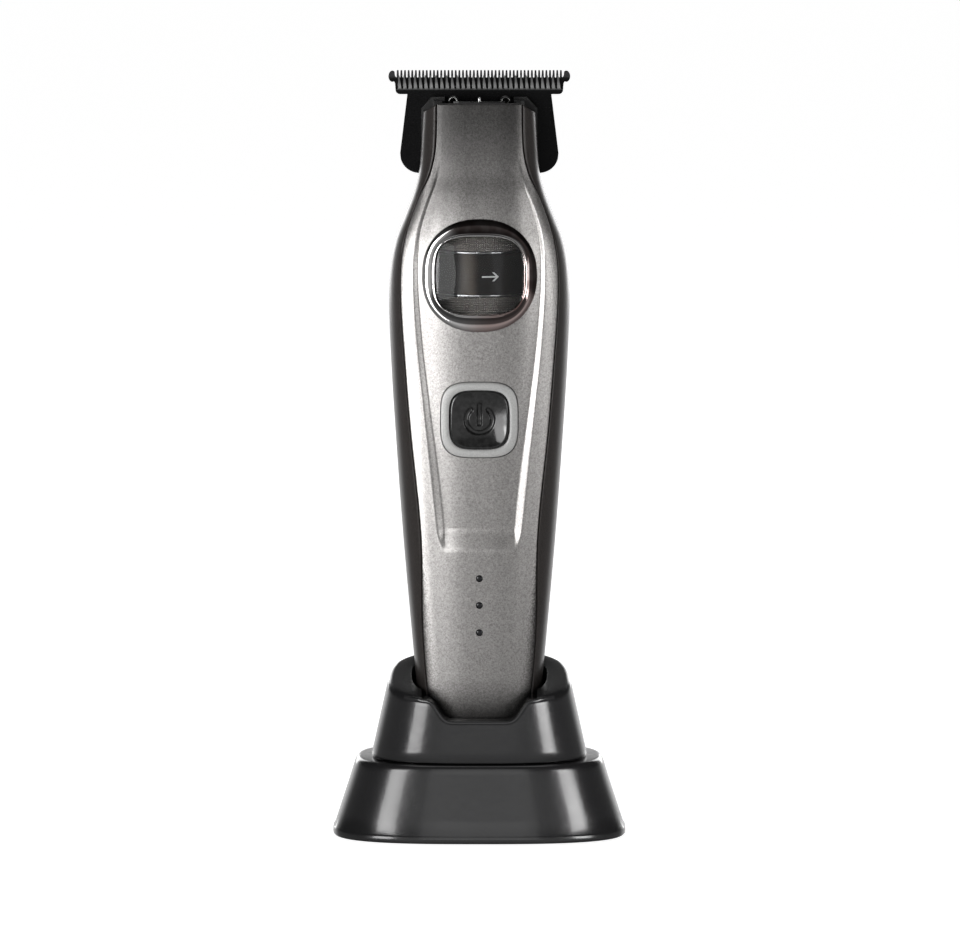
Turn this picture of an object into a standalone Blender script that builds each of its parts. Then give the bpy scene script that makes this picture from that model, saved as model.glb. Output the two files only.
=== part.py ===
"""Cordless T-blade hair clipper standing in its charging dock.

All driving dimensions are in millimetres; a mesh is scaled to metres when it is made.
+Z runs up the clipper, the button side faces -Y, and the origin is under the dock's middle.
"""

import math

import bmesh
import bpy
from mathutils import Vector

MM = 0.001
GAP = 0.3

# ---------------------------------------------------------------- clipper body
WIDEST_Y = 1.0
BODY_BOTTOM = 15.8
CAP_TOP = 21.7
SHELL_BOTTOM = 22.0
NECK_TOP = 163.0
COVER_WALL = 1.4
HOUSING_WALL = 1.6
BACK_EXPONENT = 2.5
SEAM_HALF_GAP = 0.12
SEAM_STEP = 0.5
SHOULDER_Z = 146.3
ARM_BACK_Y = 0.0
TOP_CHAMFER_START = 9.2
TOP_CHAMFER_SLOPE = 0.69

# height, half width, front depth, back depth, side band, front exponent
BODY_STATIONS = (
    (15.0, 12.2, 9.3, 11.2, 2.3, 2.8),
    (24.0, 13.0, 10.2, 11.9, 2.3, 2.8),
    (45.0, 14.95, 12.0, 13.5, 2.4, 2.8),
    (68.0, 16.95, 13.4, 14.9, 3.95, 2.8),
    (92.0, 18.65, 14.3, 15.6, 3.3, 2.8),
    (106.0, 19.48, 14.6, 15.8, 3.0, 2.8),
    (119.5, 19.92, 14.95, 15.5, 2.55, 2.8),
    (127.5, 19.5, 14.85, 14.8, 2.2, 2.8),
    (133.0, 18.4, 14.4, 13.8, 1.9, 2.9),
    (138.0, 16.45, 13.6, 12.4, 1.4, 3.1),
    (143.0, 14.5, 12.3, 10.6, 1.35, 3.5),
    (147.5, 13.3, 10.9, 9.2, 2.3, 4.0),
    (153.0, 12.8, 10.0, 8.4, 3.05, 4.4),
    (164.0, 12.1, 9.1, 7.6, 2.65, 4.6),
)

# height, half width of the dish's rim, half width of its floor
DISH_STATIONS = (
    (22.0, 6.0, 4.6),
    (64.4, 9.0, 7.2),
    (78.5, 10.6, 8.3),
    (98.6, 12.7, 10.9),
    (112.0, 14.1, 12.4),
    (125.5, 14.7, 13.3),
    (134.0, 14.0, 12.9),
    (140.0, 12.3, 11.4),
    (146.7, 9.9, 9.1),
    (153.0, 8.9, 8.2),
    (164.0, 8.6, 7.9),
)
DISH_DEPTH = 1.1
DISH_BOTTOM = 64.4
DISH_FLOOR_BOTTOM = 70.0
DISH_FADE_START = 134.0
DISH_FADE_END = 152.0

COVER_ROWS = (22.0, 30.0, 38.0, 48.0, 57.0, 64.4, 70.0, 78.0, 87.0, 96.0, 105.0, 113.0,
              120.0, 126.0, 130.5, 134.5, 138.5, 142.5, 147.0, 152.0, 158.0, NECK_TOP)
HOUSING_ROWS = (22.0, 33.0, 46.0, 58.0, 70.0, 82.0, 94.0, 106.0, 115.0, 122.0, 127.5,
                131.5, 135.5, 139.5, 143.5, 147.5, 153.0, NECK_TOP)

# ---------------------------------------------------------------- controls on the cover
WINDOW_Z = 125.6
BEZEL_HALF = (12.7, 12.4)
BEZEL_OPENING_HALF = (9.75, 8.5)
BEZEL_PROUD = 0.55
BEZEL_DEPTH = 1.75
BEZEL_EXPONENT = 2.2
LENS_WALL = 0.9
BUTTON_Z = 93.9
BUTTON_RING_HALF = (8.45, 8.3)
BUTTON_HALF = (6.45, 6.5)
BUTTON_TRAVEL = 0.6
BUTTON_STEM_RADIUS = 1.8
LED_HEIGHTS = (58.8, 52.8, 46.7)
LED_RADIUS = 0.6
SQUIRCLE_EXPONENT = 3.6

# ---------------------------------------------------------------- drive
MOTOR_RADIUS = 9.55
MOTOR_BOTTOM = 111.0
MOTOR_TOP = 138.6
RING_OUTER = 10.6
RING_INNER = 9.9
BAND_OUTER = 10.4
UPPER_RING = (130.4, 134.2)
LABEL_BAND = (121.1, 130.1)
LOWER_RING = (115.6, 120.8)
SHAFT_RADIUS = 1.2
SHAFT_SPAN = (113.0, 151.3)
CAM_THROW = 0.8
CAM_RADIUS = 2.6
CAM_SPAN = (147.2, 152.6)
CAM_PIN_RADIUS = 1.0
CAM_PIN_TOP = 160.9
CUTTER_STROKE = 0.8

# ---------------------------------------------------------------- blades
FIXED_TEETH = 46
FIXED_PITCH = 0.8
FIXED_PLATE_Y = (5.8, 7.4)
MOVING_TEETH = 31
MOVING_PITCH = 1.17
MOVING_PLATE_Y = (4.0, 5.5)
TOOTH_TIP_Z = 169.5
FIXED_ROOT_Z = 167.9
MOVING_ROOT_Z = 165.5
MOVING_TIP_Z = 168.4
BAR_BOTTOM_Z = 164.2
BAR_HALF = 18.5
FIXED_BOTTOM_Z = 146.6
BLADE_SCREW_X = 8.5
BLADE_SCREW_Z = 151.6
BLADE_SCREW_SEAT_Y = 6.6

# ---------------------------------------------------------------- battery and boards
BATTERY_RADIUS = 9.2
BATTERY_Y = 1.8
BATTERY_SPAN = (40.5, 105.5)
PCB_Y = (-9.6, -8.4)
PCB_HALF = 6.2
HOUSING_SCREW_X = 6.0
HOUSING_SCREW_Z = 30.5
HOUSING_SCREW_SEAT_Y = 9.0

# ---------------------------------------------------------------- dock
DOCK_EXPONENT = 2.9
BASE_SEGMENTS = 48
BASE_RIM_Z = 0.5
LEDGE_Z = 17.8
CRADLE_FOOT_Z = LEDGE_Z + GAP
CRADLE_FOOT_HALF = (23.9, 16.1)
CRADLE_TOP_HALF = (20.0, 15.2)
CRADLE_TOP_Z = 35.7
CRADLE_TOP_SLOPE = math.tan(math.radians(13.5))
CRADLE_EDGE = 1.1
SOCKET_CLEARANCE = 0.8
SOCKET_BOTTOM = 12.3
SLEEVE_WALL = 1.6
NOTCH_FLOOR_Z = 27.5
NOTCH_FLOOR_HALF = 7.4
NOTCH_MOUTH_Z = 33.3
NOTCH_MOUTH_HALF = 11.1
BLOCK_TOP = BODY_BOTTOM - GAP
CONTACT_X = 4.5
CONTACT_Y = -3.5
CONTACT_TRAVEL = 0.9
SPRING_FOOT_Z = 9.4
PIN_TIP_Z = BODY_BOTTOM + 0.9
INLET_Z = 6.4
DOCK_SCREW_X = 25.0


# ---------------------------------------------------------------- shared tools
def clear_scene():
    for thing in list(bpy.data.objects):
        bpy.data.objects.remove(thing, do_unlink=True)


def make_material(name, colour, roughness, metallic=0.0):
    material = bpy.data.materials.new(name)
    material.use_nodes = True
    shader = material.node_tree.nodes["Principled BSDF"]
    shader.inputs["Base Color"].default_value = (*colour, 1.0)
    shader.inputs["Roughness"].default_value = roughness
    shader.inputs["Metallic"].default_value = metallic
    return material


def make_object(name, points, faces, material=None, origin=(0.0, 0.0, 0.0)):
    """A mesh object from points in millimetres, with its origin at a point in millimetres."""
    start = Vector(origin)
    mesh = bpy.data.meshes.new(name)
    mesh.from_pydata([(Vector(p) - start) * MM for p in points], [], faces)
    mesh.validate()
    work = bmesh.new()
    work.from_mesh(mesh)
    bmesh.ops.recalc_face_normals(work, faces=work.faces)
    work.to_mesh(mesh)
    work.free()
    thing = bpy.data.objects.new(name, mesh)
    thing.location = start * MM
    bpy.context.scene.collection.objects.link(thing)
    if material:
        mesh.materials.append(material)
        mesh.shade_smooth()
        mesh.set_sharp_from_angle(angle=math.radians(35))
    return thing


def as_cutter(thing):
    thing.hide_render = True
    thing.display_type = "WIRE"
    return thing


def combine(target, tool, operation):
    as_cutter(tool)
    step = target.modifiers.new(operation.lower(), "BOOLEAN")
    step.operation = operation
    step.solver = "EXACT"
    step.object = tool


def cut(target, tool):
    combine(target, tool, "DIFFERENCE")


def join(target, tool):
    combine(target, tool, "UNION")


def bridge(rings, closed=True, loop=False):
    """Quads between successive rings of equal length; loop joins the last ring to the first."""
    count = len(rings[0])
    pairs = [(r, r + 1) for r in range(len(rings) - 1)]
    if loop:
        pairs.append((len(rings) - 1, 0))
    steps = range(count if closed else count - 1)
    return [
        (a * count + i, a * count + (i + 1) % count, b * count + (i + 1) % count, b * count + i)
        for a, b in pairs
        for i in steps
    ]


def loft(name, rings, material=None, origin=(0.0, 0.0, 0.0)):
    """A closed solid through rings of points, capped at both ends."""
    count = len(rings[0])
    points = [p for ring in rings for p in ring]
    last = (len(rings) - 1) * count
    faces = bridge(rings)
    faces.append(tuple(range(count))[::-1])
    faces.append(tuple(range(last, last + count)))
    return make_object(name, points, faces, material, origin)


def tube_loft(name, rings, material=None):
    """A closed solid whose rings run round its wall and meet again, like a sleeve."""
    points = [p for ring in rings for p in ring]
    return make_object(name, points, bridge(rings, loop=True), material)


def ring_at(radius, count, centre, axis="Z", turn=0.0):
    """A circle of points about a centre, square to one axis."""
    circle = []
    for i in range(count):
        angle = turn + 2 * math.pi * i / count
        a, b = radius * math.cos(angle), radius * math.sin(angle)
        x, y, z = centre
        circle.append({"Z": (x + a, y + b, z), "Y": (x + b, y, z + a), "X": (x, y + a, z + b)}[axis])
    return circle


def turned(name, profile, material=None, count=24, axis="Z", centre=(0.0, 0.0), hollow=False,
           origin=(0.0, 0.0, 0.0)):
    """A turned piece: (radius, place along the axis) points, about the other two coordinates."""
    def place(along):
        if axis == "Z":
            return (centre[0], centre[1], along)
        return (centre[0], along, centre[1])

    rings = [ring_at(radius, count, place(along), axis) for radius, along in profile]
    if hollow:
        return tube_loft(name, rings, material)
    return loft(name, rings, material, origin)


def block(name, low, high, material=None, origin=(0.0, 0.0, 0.0)):
    """A box between two corners."""
    (x0, y0, z0), (x1, y1, z1) = low, high
    rings = [[(x0, y0, z), (x1, y0, z), (x1, y1, z), (x0, y1, z)] for z in (z0, z1)]
    return loft(name, rings, material, origin)


def extruded(name, outline, y_front, y_back, material=None, origin=(0.0, 0.0, 0.0)):
    """A plate from an (x, z) outline between two depths."""
    rings = [[(x, y, z) for x, z in outline] for y in (y_front, y_back)]
    return loft(name, rings, material, origin)


def arc(centre, radius, start, stop, steps):
    """Points of an (x, z) arc between two angles in degrees."""
    cx, cz = centre
    points = []
    for i in range(steps + 1):
        angle = math.radians(start + (stop - start) * i / steps)
        points.append((cx + radius * math.cos(angle), cz + radius * math.sin(angle)))
    return points


def power(value, exponent):
    return math.copysign(abs(value) ** exponent, value)


def squircle(half_x, half_z, count, exponent=SQUIRCLE_EXPONENT):
    """(x, z) points of a rounded square."""
    angles = [2 * math.pi * (i + 0.5) / count for i in range(count)]
    return [
        (half_x * power(math.cos(a), 2 / exponent), half_z * power(math.sin(a), 2 / exponent))
        for a in angles
    ]


def smooth_step(low, high, value):
    share = min(max((value - low) / (high - low), 0.0), 1.0)
    return share * share * (3 - 2 * share)


def along_stations(stations, column, height):
    """A smooth curve through one column of a station list, read at a height."""
    heights = [s[0] for s in stations]
    values = [s[column] for s in stations]
    height = min(max(height, heights[0]), heights[-1])
    i = max(k for k in range(len(heights) - 1) if heights[k] <= height)

    def slope(k):
        before, after = max(k - 1, 0), min(k + 1, len(heights) - 1)
        return (values[after] - values[before]) / (heights[after] - heights[before])

    span = heights[i + 1] - heights[i]
    t = (height - heights[i]) / span
    return (
        values[i] * (2 * t**3 - 3 * t**2 + 1)
        + span * slope(i) * (t**3 - 2 * t**2 + t)
        + values[i + 1] * (3 * t**2 - 2 * t**3)
        + span * slope(i + 1) * (t**3 - t**2)
    )


def push_in(line, distance):
    """An (x, y) polyline moved to its left by a distance, square to itself."""
    moved = []
    for i, (x, y) in enumerate(line):
        before, after = line[max(i - 1, 0)], line[min(i + 1, len(line) - 1)]
        dx, dy = after[0] - before[0], after[1] - before[1]
        size = math.hypot(dx, dy)
        moved.append((x - dy / size * distance, y + dx / size * distance))
    return moved


# ---------------------------------------------------------------- body surface
def half_width(z):
    return along_stations(BODY_STATIONS, 1, z)


def seam_x(z):
    """Half width of the front cover where it meets the rear housing."""
    return half_width(z) - along_stations(BODY_STATIONS, 4, z)


def skin_y(z, x):
    """Front of the body at a height and offset, before the dish is sunk."""
    front = along_stations(BODY_STATIONS, 2, z)
    exponent = along_stations(BODY_STATIONS, 5, z)
    share = min(abs(x) / half_width(z), 0.999) ** exponent
    return WIDEST_Y - (front + WIDEST_Y) * (1 - share) ** (1 / exponent)


def dish_depth(z):
    lower = smooth_step(DISH_BOTTOM, DISH_FLOOR_BOTTOM, z)
    return DISH_DEPTH * lower * (1 - smooth_step(DISH_FADE_START, DISH_FADE_END, z))


def floor_y(z, x):
    """Front of the cover inside the dish."""
    return skin_y(z, x) + dish_depth(z)


def top_z(x):
    return NECK_TOP - max(0.0, abs(x) - TOP_CHAMFER_START) * TOP_CHAMFER_SLOPE


def past_seam(neighbour, z, way):
    """An end point that gives both sides of the seam the same direction."""
    x = seam_x(z)
    rise = skin_y(z, x + SEAM_STEP) - skin_y(z, x - SEAM_STEP)
    return (neighbour[0] + way * 2 * SEAM_STEP, neighbour[1] + way * rise)


def cover_line(z):
    """(x, y) points across the front cover, with one point past the seam at each end."""
    rim = along_stations(DISH_STATIONS, 1, z)
    floor = along_stations(DISH_STATIONS, 2, z)
    edge = seam_x(z) - SEAM_HALF_GAP
    right = [(floor * share, floor_y(z, floor * share)) for share in (0.36, 0.7, 1.0)]
    right += [(x, skin_y(z, x)) for x in (rim, (rim + edge) / 2, edge)]
    right.append(past_seam(right[-2], z, 1))
    left = [(-x, y) for x, y in reversed(right)]
    return left + [(0.0, floor_y(z, 0.0))] + right


def housing_line(z):
    """(x, y) points round the rear housing, with one point past the seam at each end."""
    width = half_width(z)
    front = along_stations(BODY_STATIONS, 2, z) + WIDEST_Y
    back = along_stations(BODY_STATIONS, 3, z) - WIDEST_Y
    exponent = along_stations(BODY_STATIONS, 5, z)
    start = math.acos(((seam_x(z) + SEAM_HALF_GAP) / width) ** (exponent / 2))
    right = []
    for share in (1.0, 0.68, 0.34):
        angle = start * share
        x = width * math.cos(angle) ** (2 / exponent)
        right.append((x, WIDEST_Y - front * math.sin(angle) ** (2 / exponent)))
    for step in range(6):
        angle = math.radians(15 * step)
        x = width * math.cos(angle) ** (2 / BACK_EXPONENT)
        right.append((x, WIDEST_Y + back * power(math.sin(angle), 2 / BACK_EXPONENT)))
    right.insert(0, past_seam(right[1], z, -1))
    left = [(-x, y) for x, y in reversed(right)]
    return right + [(0.0, WIDEST_Y + back)] + left


def section(z, inset, count=40):
    """A closed ring round the whole body at a height, pushed in by an inset."""
    width = half_width(z) - inset
    front = along_stations(BODY_STATIONS, 2, z) + WIDEST_Y - inset
    back = along_stations(BODY_STATIONS, 3, z) - WIDEST_Y - inset
    ring = []
    for i in range(count):
        angle = 2 * math.pi * i / count
        exponent = BACK_EXPONENT if math.sin(angle) >= 0 else 2.8
        depth = back if math.sin(angle) >= 0 else front
        ring.append((
            width * power(math.cos(angle), 2 / exponent),
            WIDEST_Y + depth * power(math.sin(angle), 2 / exponent),
            z,
        ))
    return ring


def shell(name, rows, line_at, wall, material):
    """A thin open shell from one (x, y) line per row; the end points only set directions."""
    outer, inner = [], []
    for z in rows:
        line = line_at(z)
        is_top = z == rows[-1]
        heights = [top_z(x) if is_top else z for x, _ in line[1:-1]]
        outer.append([(x, y, h) for (x, y), h in zip(line[1:-1], heights)])
        inner.append([(x, y, h) for (x, y), h in zip(push_in(line, wall)[1:-1], heights)])
    count, total = len(outer[0]), len(rows) * len(outer[0])
    faces = bridge(outer, closed=False)
    faces += [tuple(total + i for i in reversed(face)) for face in faces]
    rim = [i for i in range(count)]
    rim += [r * count + count - 1 for r in range(1, len(rows))]
    rim += [(len(rows) - 1) * count + i for i in reversed(range(count - 1))]
    rim += [r * count for r in reversed(range(1, len(rows) - 1))]
    for a, b in zip(rim, rim[1:] + rim[:1]):
        faces.append((b, a, total + a, total + b))
    points = [p for ring in outer + inner for p in ring]
    return make_object(name, points, faces, material)


# ---------------------------------------------------------------- clipper shells
def surface_ring(outline, z_middle, lift):
    """An (x, z) outline laid on the dish floor at a height, lifted off it."""
    return [(x, floor_y(z_middle + z, x) - lift, z_middle + z) for x, z in outline]


def plug(name, half, z_middle, exponent=SQUIRCLE_EXPONENT):
    """A straight rounded cutter through the cover."""
    outline = [(x, z_middle + z) for x, z in squircle(*half, 32, exponent)]
    return extruded(name, outline, -20, -6)


def build_front_cover(material):
    cover = shell("front_cover", COVER_ROWS, cover_line, COVER_WALL, material)
    for side in (-1, 1):
        boss = turned(f"cover_boss_{side}", [(2.3, -8.6), (2.3, 0.5)], axis="Y", count=12,
                      centre=(side * HOUSING_SCREW_X, HOUSING_SCREW_Z))
        join(cover, boss)
    cut(cover, plug("window_cut", [h - 0.9 for h in BEZEL_HALF], WINDOW_Z, BEZEL_EXPONENT))
    cut(cover, plug("button_cut", [h + GAP for h in BUTTON_RING_HALF], BUTTON_Z))
    for number, height in enumerate(LED_HEIGHTS, 1):
        hole = [(LED_RADIUS + GAP, -20), (LED_RADIUS + GAP, -6)]
        cut(cover, turned(f"led_cut_{number}", hole, axis="Y", count=10, centre=(0.0, height)))
    for side in (-1, 1):
        cut(cover, turned(f"boss_bore_{side}", [(1.35, -7.0), (1.35, 3.0)], axis="Y", count=10,
                          centre=(side * HOUSING_SCREW_X, HOUSING_SCREW_Z)))
    return cover


def build_rear_housing(material):
    housing = shell("rear_housing", HOUSING_ROWS, housing_line, HOUSING_WALL, material)
    cut(housing, block("neck_back_cut", (-30, ARM_BACK_Y, SHOULDER_Z), (30, 30, 175)))
    for side in (-1, 1):
        centre = (side * HOUSING_SCREW_X, HOUSING_SCREW_Z)
        boss = turned(f"housing_boss_{side}", [(3.4, 0.9), (3.4, 10.2)], axis="Y", count=14, centre=centre)
        bore = turned(f"housing_bore_{side}", [(1.4, 0.0), (1.4, 20.0)], axis="Y", count=12, centre=centre)
        sink = turned(f"housing_sink_{side}", [(2.8, HOUSING_SCREW_SEAT_Y), (2.8, 20.0)], axis="Y", count=14,
                      centre=centre)
        join(housing, boss)
        cut(housing, bore)
        cut(housing, sink)
    return housing


def build_bottom_cap(material):
    rings = [section(BODY_BOTTOM, 1.0), section(BODY_BOTTOM + 0.8, 0.1), section(CAP_TOP, 0.0),
             section(CAP_TOP, 1.6), section(BODY_BOTTOM + 2.0, 1.9)]
    cap = loft("bottom_cap", rings, material)
    cut(cap, block("port_cut", (-4.9, 1.6, 10), (4.9, 5.8, 30)))
    for side in (-1, 1):
        centre = (side * CONTACT_X, CONTACT_Y)
        cut(cap, turned(f"plate_cut_{side}", [(2.0, 10), (2.0, 30)], count=16, centre=centre))
    return cap


def build_neck_insert(material):
    heights = (142.0, 147.0, 153.0, 159.0, 163.3)
    rings = []
    for z in heights:
        width, front = half_width(z) - 2.1, along_stations(BODY_STATIONS, 2, z) - 2.4
        bow = [(width * power(math.cos(a), 0.6), -front * power(math.sin(a), 0.6))
               for a in (math.pi * i / 12 for i in range(13))]
        rings.append([(x, y, z) for x, y in bow] + [(-width, 2.2, z), (width, 2.2, z)])
    insert = loft("neck_insert", rings, material)
    top, half = 163.9, 12.75
    right = [(half, SHOULDER_Z + GAP), (half, top - 2.5), (half - 2.3, top)]
    outline = right + [(-x, z) for x, z in reversed(right)]
    join(insert, extruded("insert_back", outline, ARM_BACK_Y + GAP, 3.4))
    for side in (-1, 1):
        centre = (side * BLADE_SCREW_X, BLADE_SCREW_Z)
        join(insert, turned(f"insert_boss_{side}", [(3.1, 2.0), (3.1, FIXED_PLATE_Y[0] - GAP)], axis="Y",
                            count=18, centre=centre))
        bore = [(1.6, -4.0), (1.6, 8.0)]
        cut(insert, turned(f"insert_bore_{side}", bore, axis="Y", count=14, centre=centre))
    cut(insert, turned("drive_bore", [(4.6, 140.0), (4.6, 170.0)], count=24))
    cut(insert, block("yoke_bay", (-6.2, -4.3, 155.6), (6.2, 6.0, 170.0)))
    cut(insert, block("spring_bay", (-8.2, -6.4, 161.6), (8.2, -3.0, 170.0)))
    cut(insert, block("spring_leg_bay", (-7.6, -4.0, 161.6), (7.6, 6.0, 170.0)))
    return insert


# ---------------------------------------------------------------- window, button, lights
def build_window(chrome, clear):
    outer = squircle(*BEZEL_HALF, 36, BEZEL_EXPONENT)
    inner = squircle(*BEZEL_OPENING_HALF, 36, 3.4)
    seat = squircle(BEZEL_HALF[0] - 1.25, BEZEL_HALF[1] - 1.25, 36, BEZEL_EXPONENT)

    def between(share):
        return [(a[0] + (b[0] - a[0]) * share, a[1] + (b[1] - a[1]) * share) for a, b in zip(outer, inner)]

    rings = [
        surface_ring(outer, WINDOW_Z, GAP),
        surface_ring(between(0.12), WINDOW_Z, GAP + BEZEL_PROUD),
        surface_ring(between(0.55), WINDOW_Z, GAP + BEZEL_PROUD * 1.25),
        surface_ring(inner, WINDOW_Z, 0.1),
        surface_ring(inner, WINDOW_Z, -BEZEL_DEPTH),
        surface_ring(seat, WINDOW_Z, -BEZEL_DEPTH),
        surface_ring(seat, WINDOW_Z, GAP),
    ]
    tube_loft("window_bezel", rings, chrome)
    pane = squircle(BEZEL_OPENING_HALF[0] - GAP, BEZEL_OPENING_HALF[1] - GAP, 28, 3.4)
    middle = [(x * 0.55, z * 0.55) for x, z in pane]
    rings = [surface_ring(ring, WINDOW_Z, lift) for ring, lift in
             ((middle, -0.55), (pane, -0.55), (pane, -0.55 - LENS_WALL), (middle, -0.55 - LENS_WALL))]
    loft("window_lens", rings, clear)


def build_button(ring_material, button_material):
    outer = squircle(*BUTTON_RING_HALF, 32)
    inner = squircle(BUTTON_HALF[0] + GAP, BUTTON_HALF[1] + GAP, 32)
    shoulder = [(x * 0.97, z * 0.97) for x, z in outer]
    rings = [surface_ring(outer, BUTTON_Z, -2.4), surface_ring(outer, BUTTON_Z, 0.0),
             surface_ring(shoulder, BUTTON_Z, 0.25), surface_ring(inner, BUTTON_Z, 0.15),
             surface_ring(inner, BUTTON_Z, -2.4)]
    tube_loft("button_ring", rings, ring_material)
    face = floor_y(BUTTON_Z, 0.0)
    rings = []
    for share, lift in ((1.0, -1.4), (1.0, -0.25), (0.93, 0.2), (0.62, -0.15), (0.3, -0.25)):
        outline = squircle(BUTTON_HALF[0] * share, BUTTON_HALF[1] * share, 28)
        rings.append([(x, face - lift, BUTTON_Z + z) for x, z in outline])
    button = loft("power_button", rings, button_material, origin=(0.0, face, BUTTON_Z))
    join(button, turned("button_stem", [(BUTTON_STEM_RADIUS, face + 1.0), (BUTTON_STEM_RADIUS, face + 1.9)],
                        axis="Y", count=16, centre=(0.0, BUTTON_Z)))


def build_boards(board, dark, led):
    block("main_pcb", (-PCB_HALF, PCB_Y[0], 44.5), (PCB_HALF, PCB_Y[1], 104.0), board)
    front = PCB_Y[0] - GAP
    switch = block("tact_switch", (-3.0, front - 0.6, BUTTON_Z - 3.0), (3.0, front, BUTTON_Z + 3.0), dark)
    join(switch, turned("switch_dome", [(1.7, front - 0.3), (1.7, front - 0.85)], axis="Y", count=16,
                        centre=(0.0, BUTTON_Z)))
    for number, height in enumerate(LED_HEIGHTS, 1):
        front = skin_y(height, 0.0)
        turned(f"charge_led_{number}", [(LED_RADIUS, front + 0.05), (LED_RADIUS, PCB_Y[0] - GAP)], led,
               axis="Y", count=12, centre=(0.0, height))


# ---------------------------------------------------------------- power train
def build_battery(sleeve, plastic):
    low, high = BATTERY_SPAN
    r = BATTERY_RADIUS
    profile = [(r - 0.8, low), (r, low + 0.6), (r, high - 1.8), (r - 0.9, high - 1.0), (3.2, high - 1.0),
               (3.2, high)]
    turned("battery_cell", profile, sleeve, count=24, centre=(0.0, BATTERY_Y))
    rings = []
    for z in (low + 2, high - 2):
        angles = [math.radians(200 + 140 * i / 12) for i in range(13)]
        outer = [(10.2 * math.cos(a), max(BATTERY_Y + 10.2 * math.sin(a), PCB_Y[1] + GAP), z) for a in angles]
        inner = [(9.5 * math.cos(a), BATTERY_Y + 9.5 * math.sin(a), z) for a in reversed(angles)]
        rings.append(outer + inner)
    loft("battery_cradle", rings, plastic)


def build_sleeve(name, span, outer, material):
    """A thin ring round the motor can."""
    profile = [(RING_INNER, span[0]), (outer, span[0]), (outer, span[1]), (RING_INNER, span[1])]
    turned(name, profile, material, count=28, hollow=True)


def build_motor(steel, ring_metal, label, copper, plastic, brass):
    low, high, r = MOTOR_BOTTOM, MOTOR_TOP, MOTOR_RADIUS
    profile = [(r - 0.7, low), (r, low + 0.7), (r, high - 0.7), (r - 0.7, high), (3.4, high),
               (3.4, high - 1.2), (r - 1.0, high - 1.2), (r - 1.0, low + 1.2), (4.0, low + 1.2), (4.0, low)]
    turned("motor_can", profile, steel, count=24, hollow=True)
    build_sleeve("motor_ring_upper", UPPER_RING, RING_OUTER, ring_metal)
    build_sleeve("motor_ring_lower", LOWER_RING, RING_OUTER, ring_metal)
    build_sleeve("motor_label_band", LABEL_BAND, BAND_OUTER, label)
    coils = [(5.6, low + 4), (8.2, low + 4), (8.2, high - 4), (5.6, high - 4)]
    turned("motor_stator", coils, copper, count=24, hollow=True)
    bore = SHAFT_RADIUS + 0.07
    bush = [(bore, high - 1.1), (3.1, high - 1.1), (3.1, high + 1.2), (bore, high + 1.2)]
    turned("motor_bearing", bush, brass, count=20, hollow=True)
    mount = loft("motor_mount", [section(z, 2.0, 32) for z in (106.6, 110.2)], plastic)
    cut(mount, turned("mount_bore", [(4.5, 100), (4.5, 112)], count=20))
    cut(mount, block("mount_front_relief", (-20, -20, 100), (20, -8.4, 112)))


def build_rotor(magnet, steel, dark_steel):
    low, high = MOTOR_BOTTOM, MOTOR_TOP
    bore = SHAFT_RADIUS + 0.05
    profile = [(bore, low + 4), (5.0, low + 4), (5.0, high - 4), (bore, high - 4)]
    turned("motor_rotor", profile, magnet, count=20, hollow=True)
    turned("motor_shaft", [(SHAFT_RADIUS - 0.2, SHAFT_SPAN[0]), (SHAFT_RADIUS, SHAFT_SPAN[0] + 0.3),
                           (SHAFT_RADIUS, SHAFT_SPAN[1])], steel, count=20)
    cam = turned("eccentric_cam", [(CAM_RADIUS, CAM_SPAN[0]), (CAM_RADIUS, CAM_SPAN[1] - 0.3),
                                   (CAM_RADIUS - 0.3, CAM_SPAN[1])], dark_steel, count=24)
    join(cam, turned("cam_pin", [(CAM_PIN_RADIUS, CAM_SPAN[1] - 1.0), (CAM_PIN_RADIUS, CAM_PIN_TOP - 0.3),
                                 (CAM_PIN_RADIUS - 0.3, CAM_PIN_TOP)], count=16, centre=(0.0, -CAM_THROW)))
    cut(cam, turned("cam_bore", [(bore, 140), (bore, SHAFT_SPAN[1] + 0.1)], count=20))


# ---------------------------------------------------------------- blades
def comb(teeth, pitch, tip_z, root_z, tip_share, root_share, lean=0.0):
    """(x, z) points of a row of teeth from right to left; lean moves the tips along X."""
    points = []
    for number in range(teeth):
        centre = (teeth - 1) / 2 * pitch - number * pitch
        points.append((centre + pitch * root_share / 2, root_z))
        points.append((centre + pitch * tip_share / 2 + lean, tip_z))
        points.append((centre - pitch * tip_share / 2 + lean, tip_z))
        points.append((centre - pitch * root_share / 2, root_z))
    return points


def mirrored(points):
    return points + [(-x, z) for x, z in reversed(points)]


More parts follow.
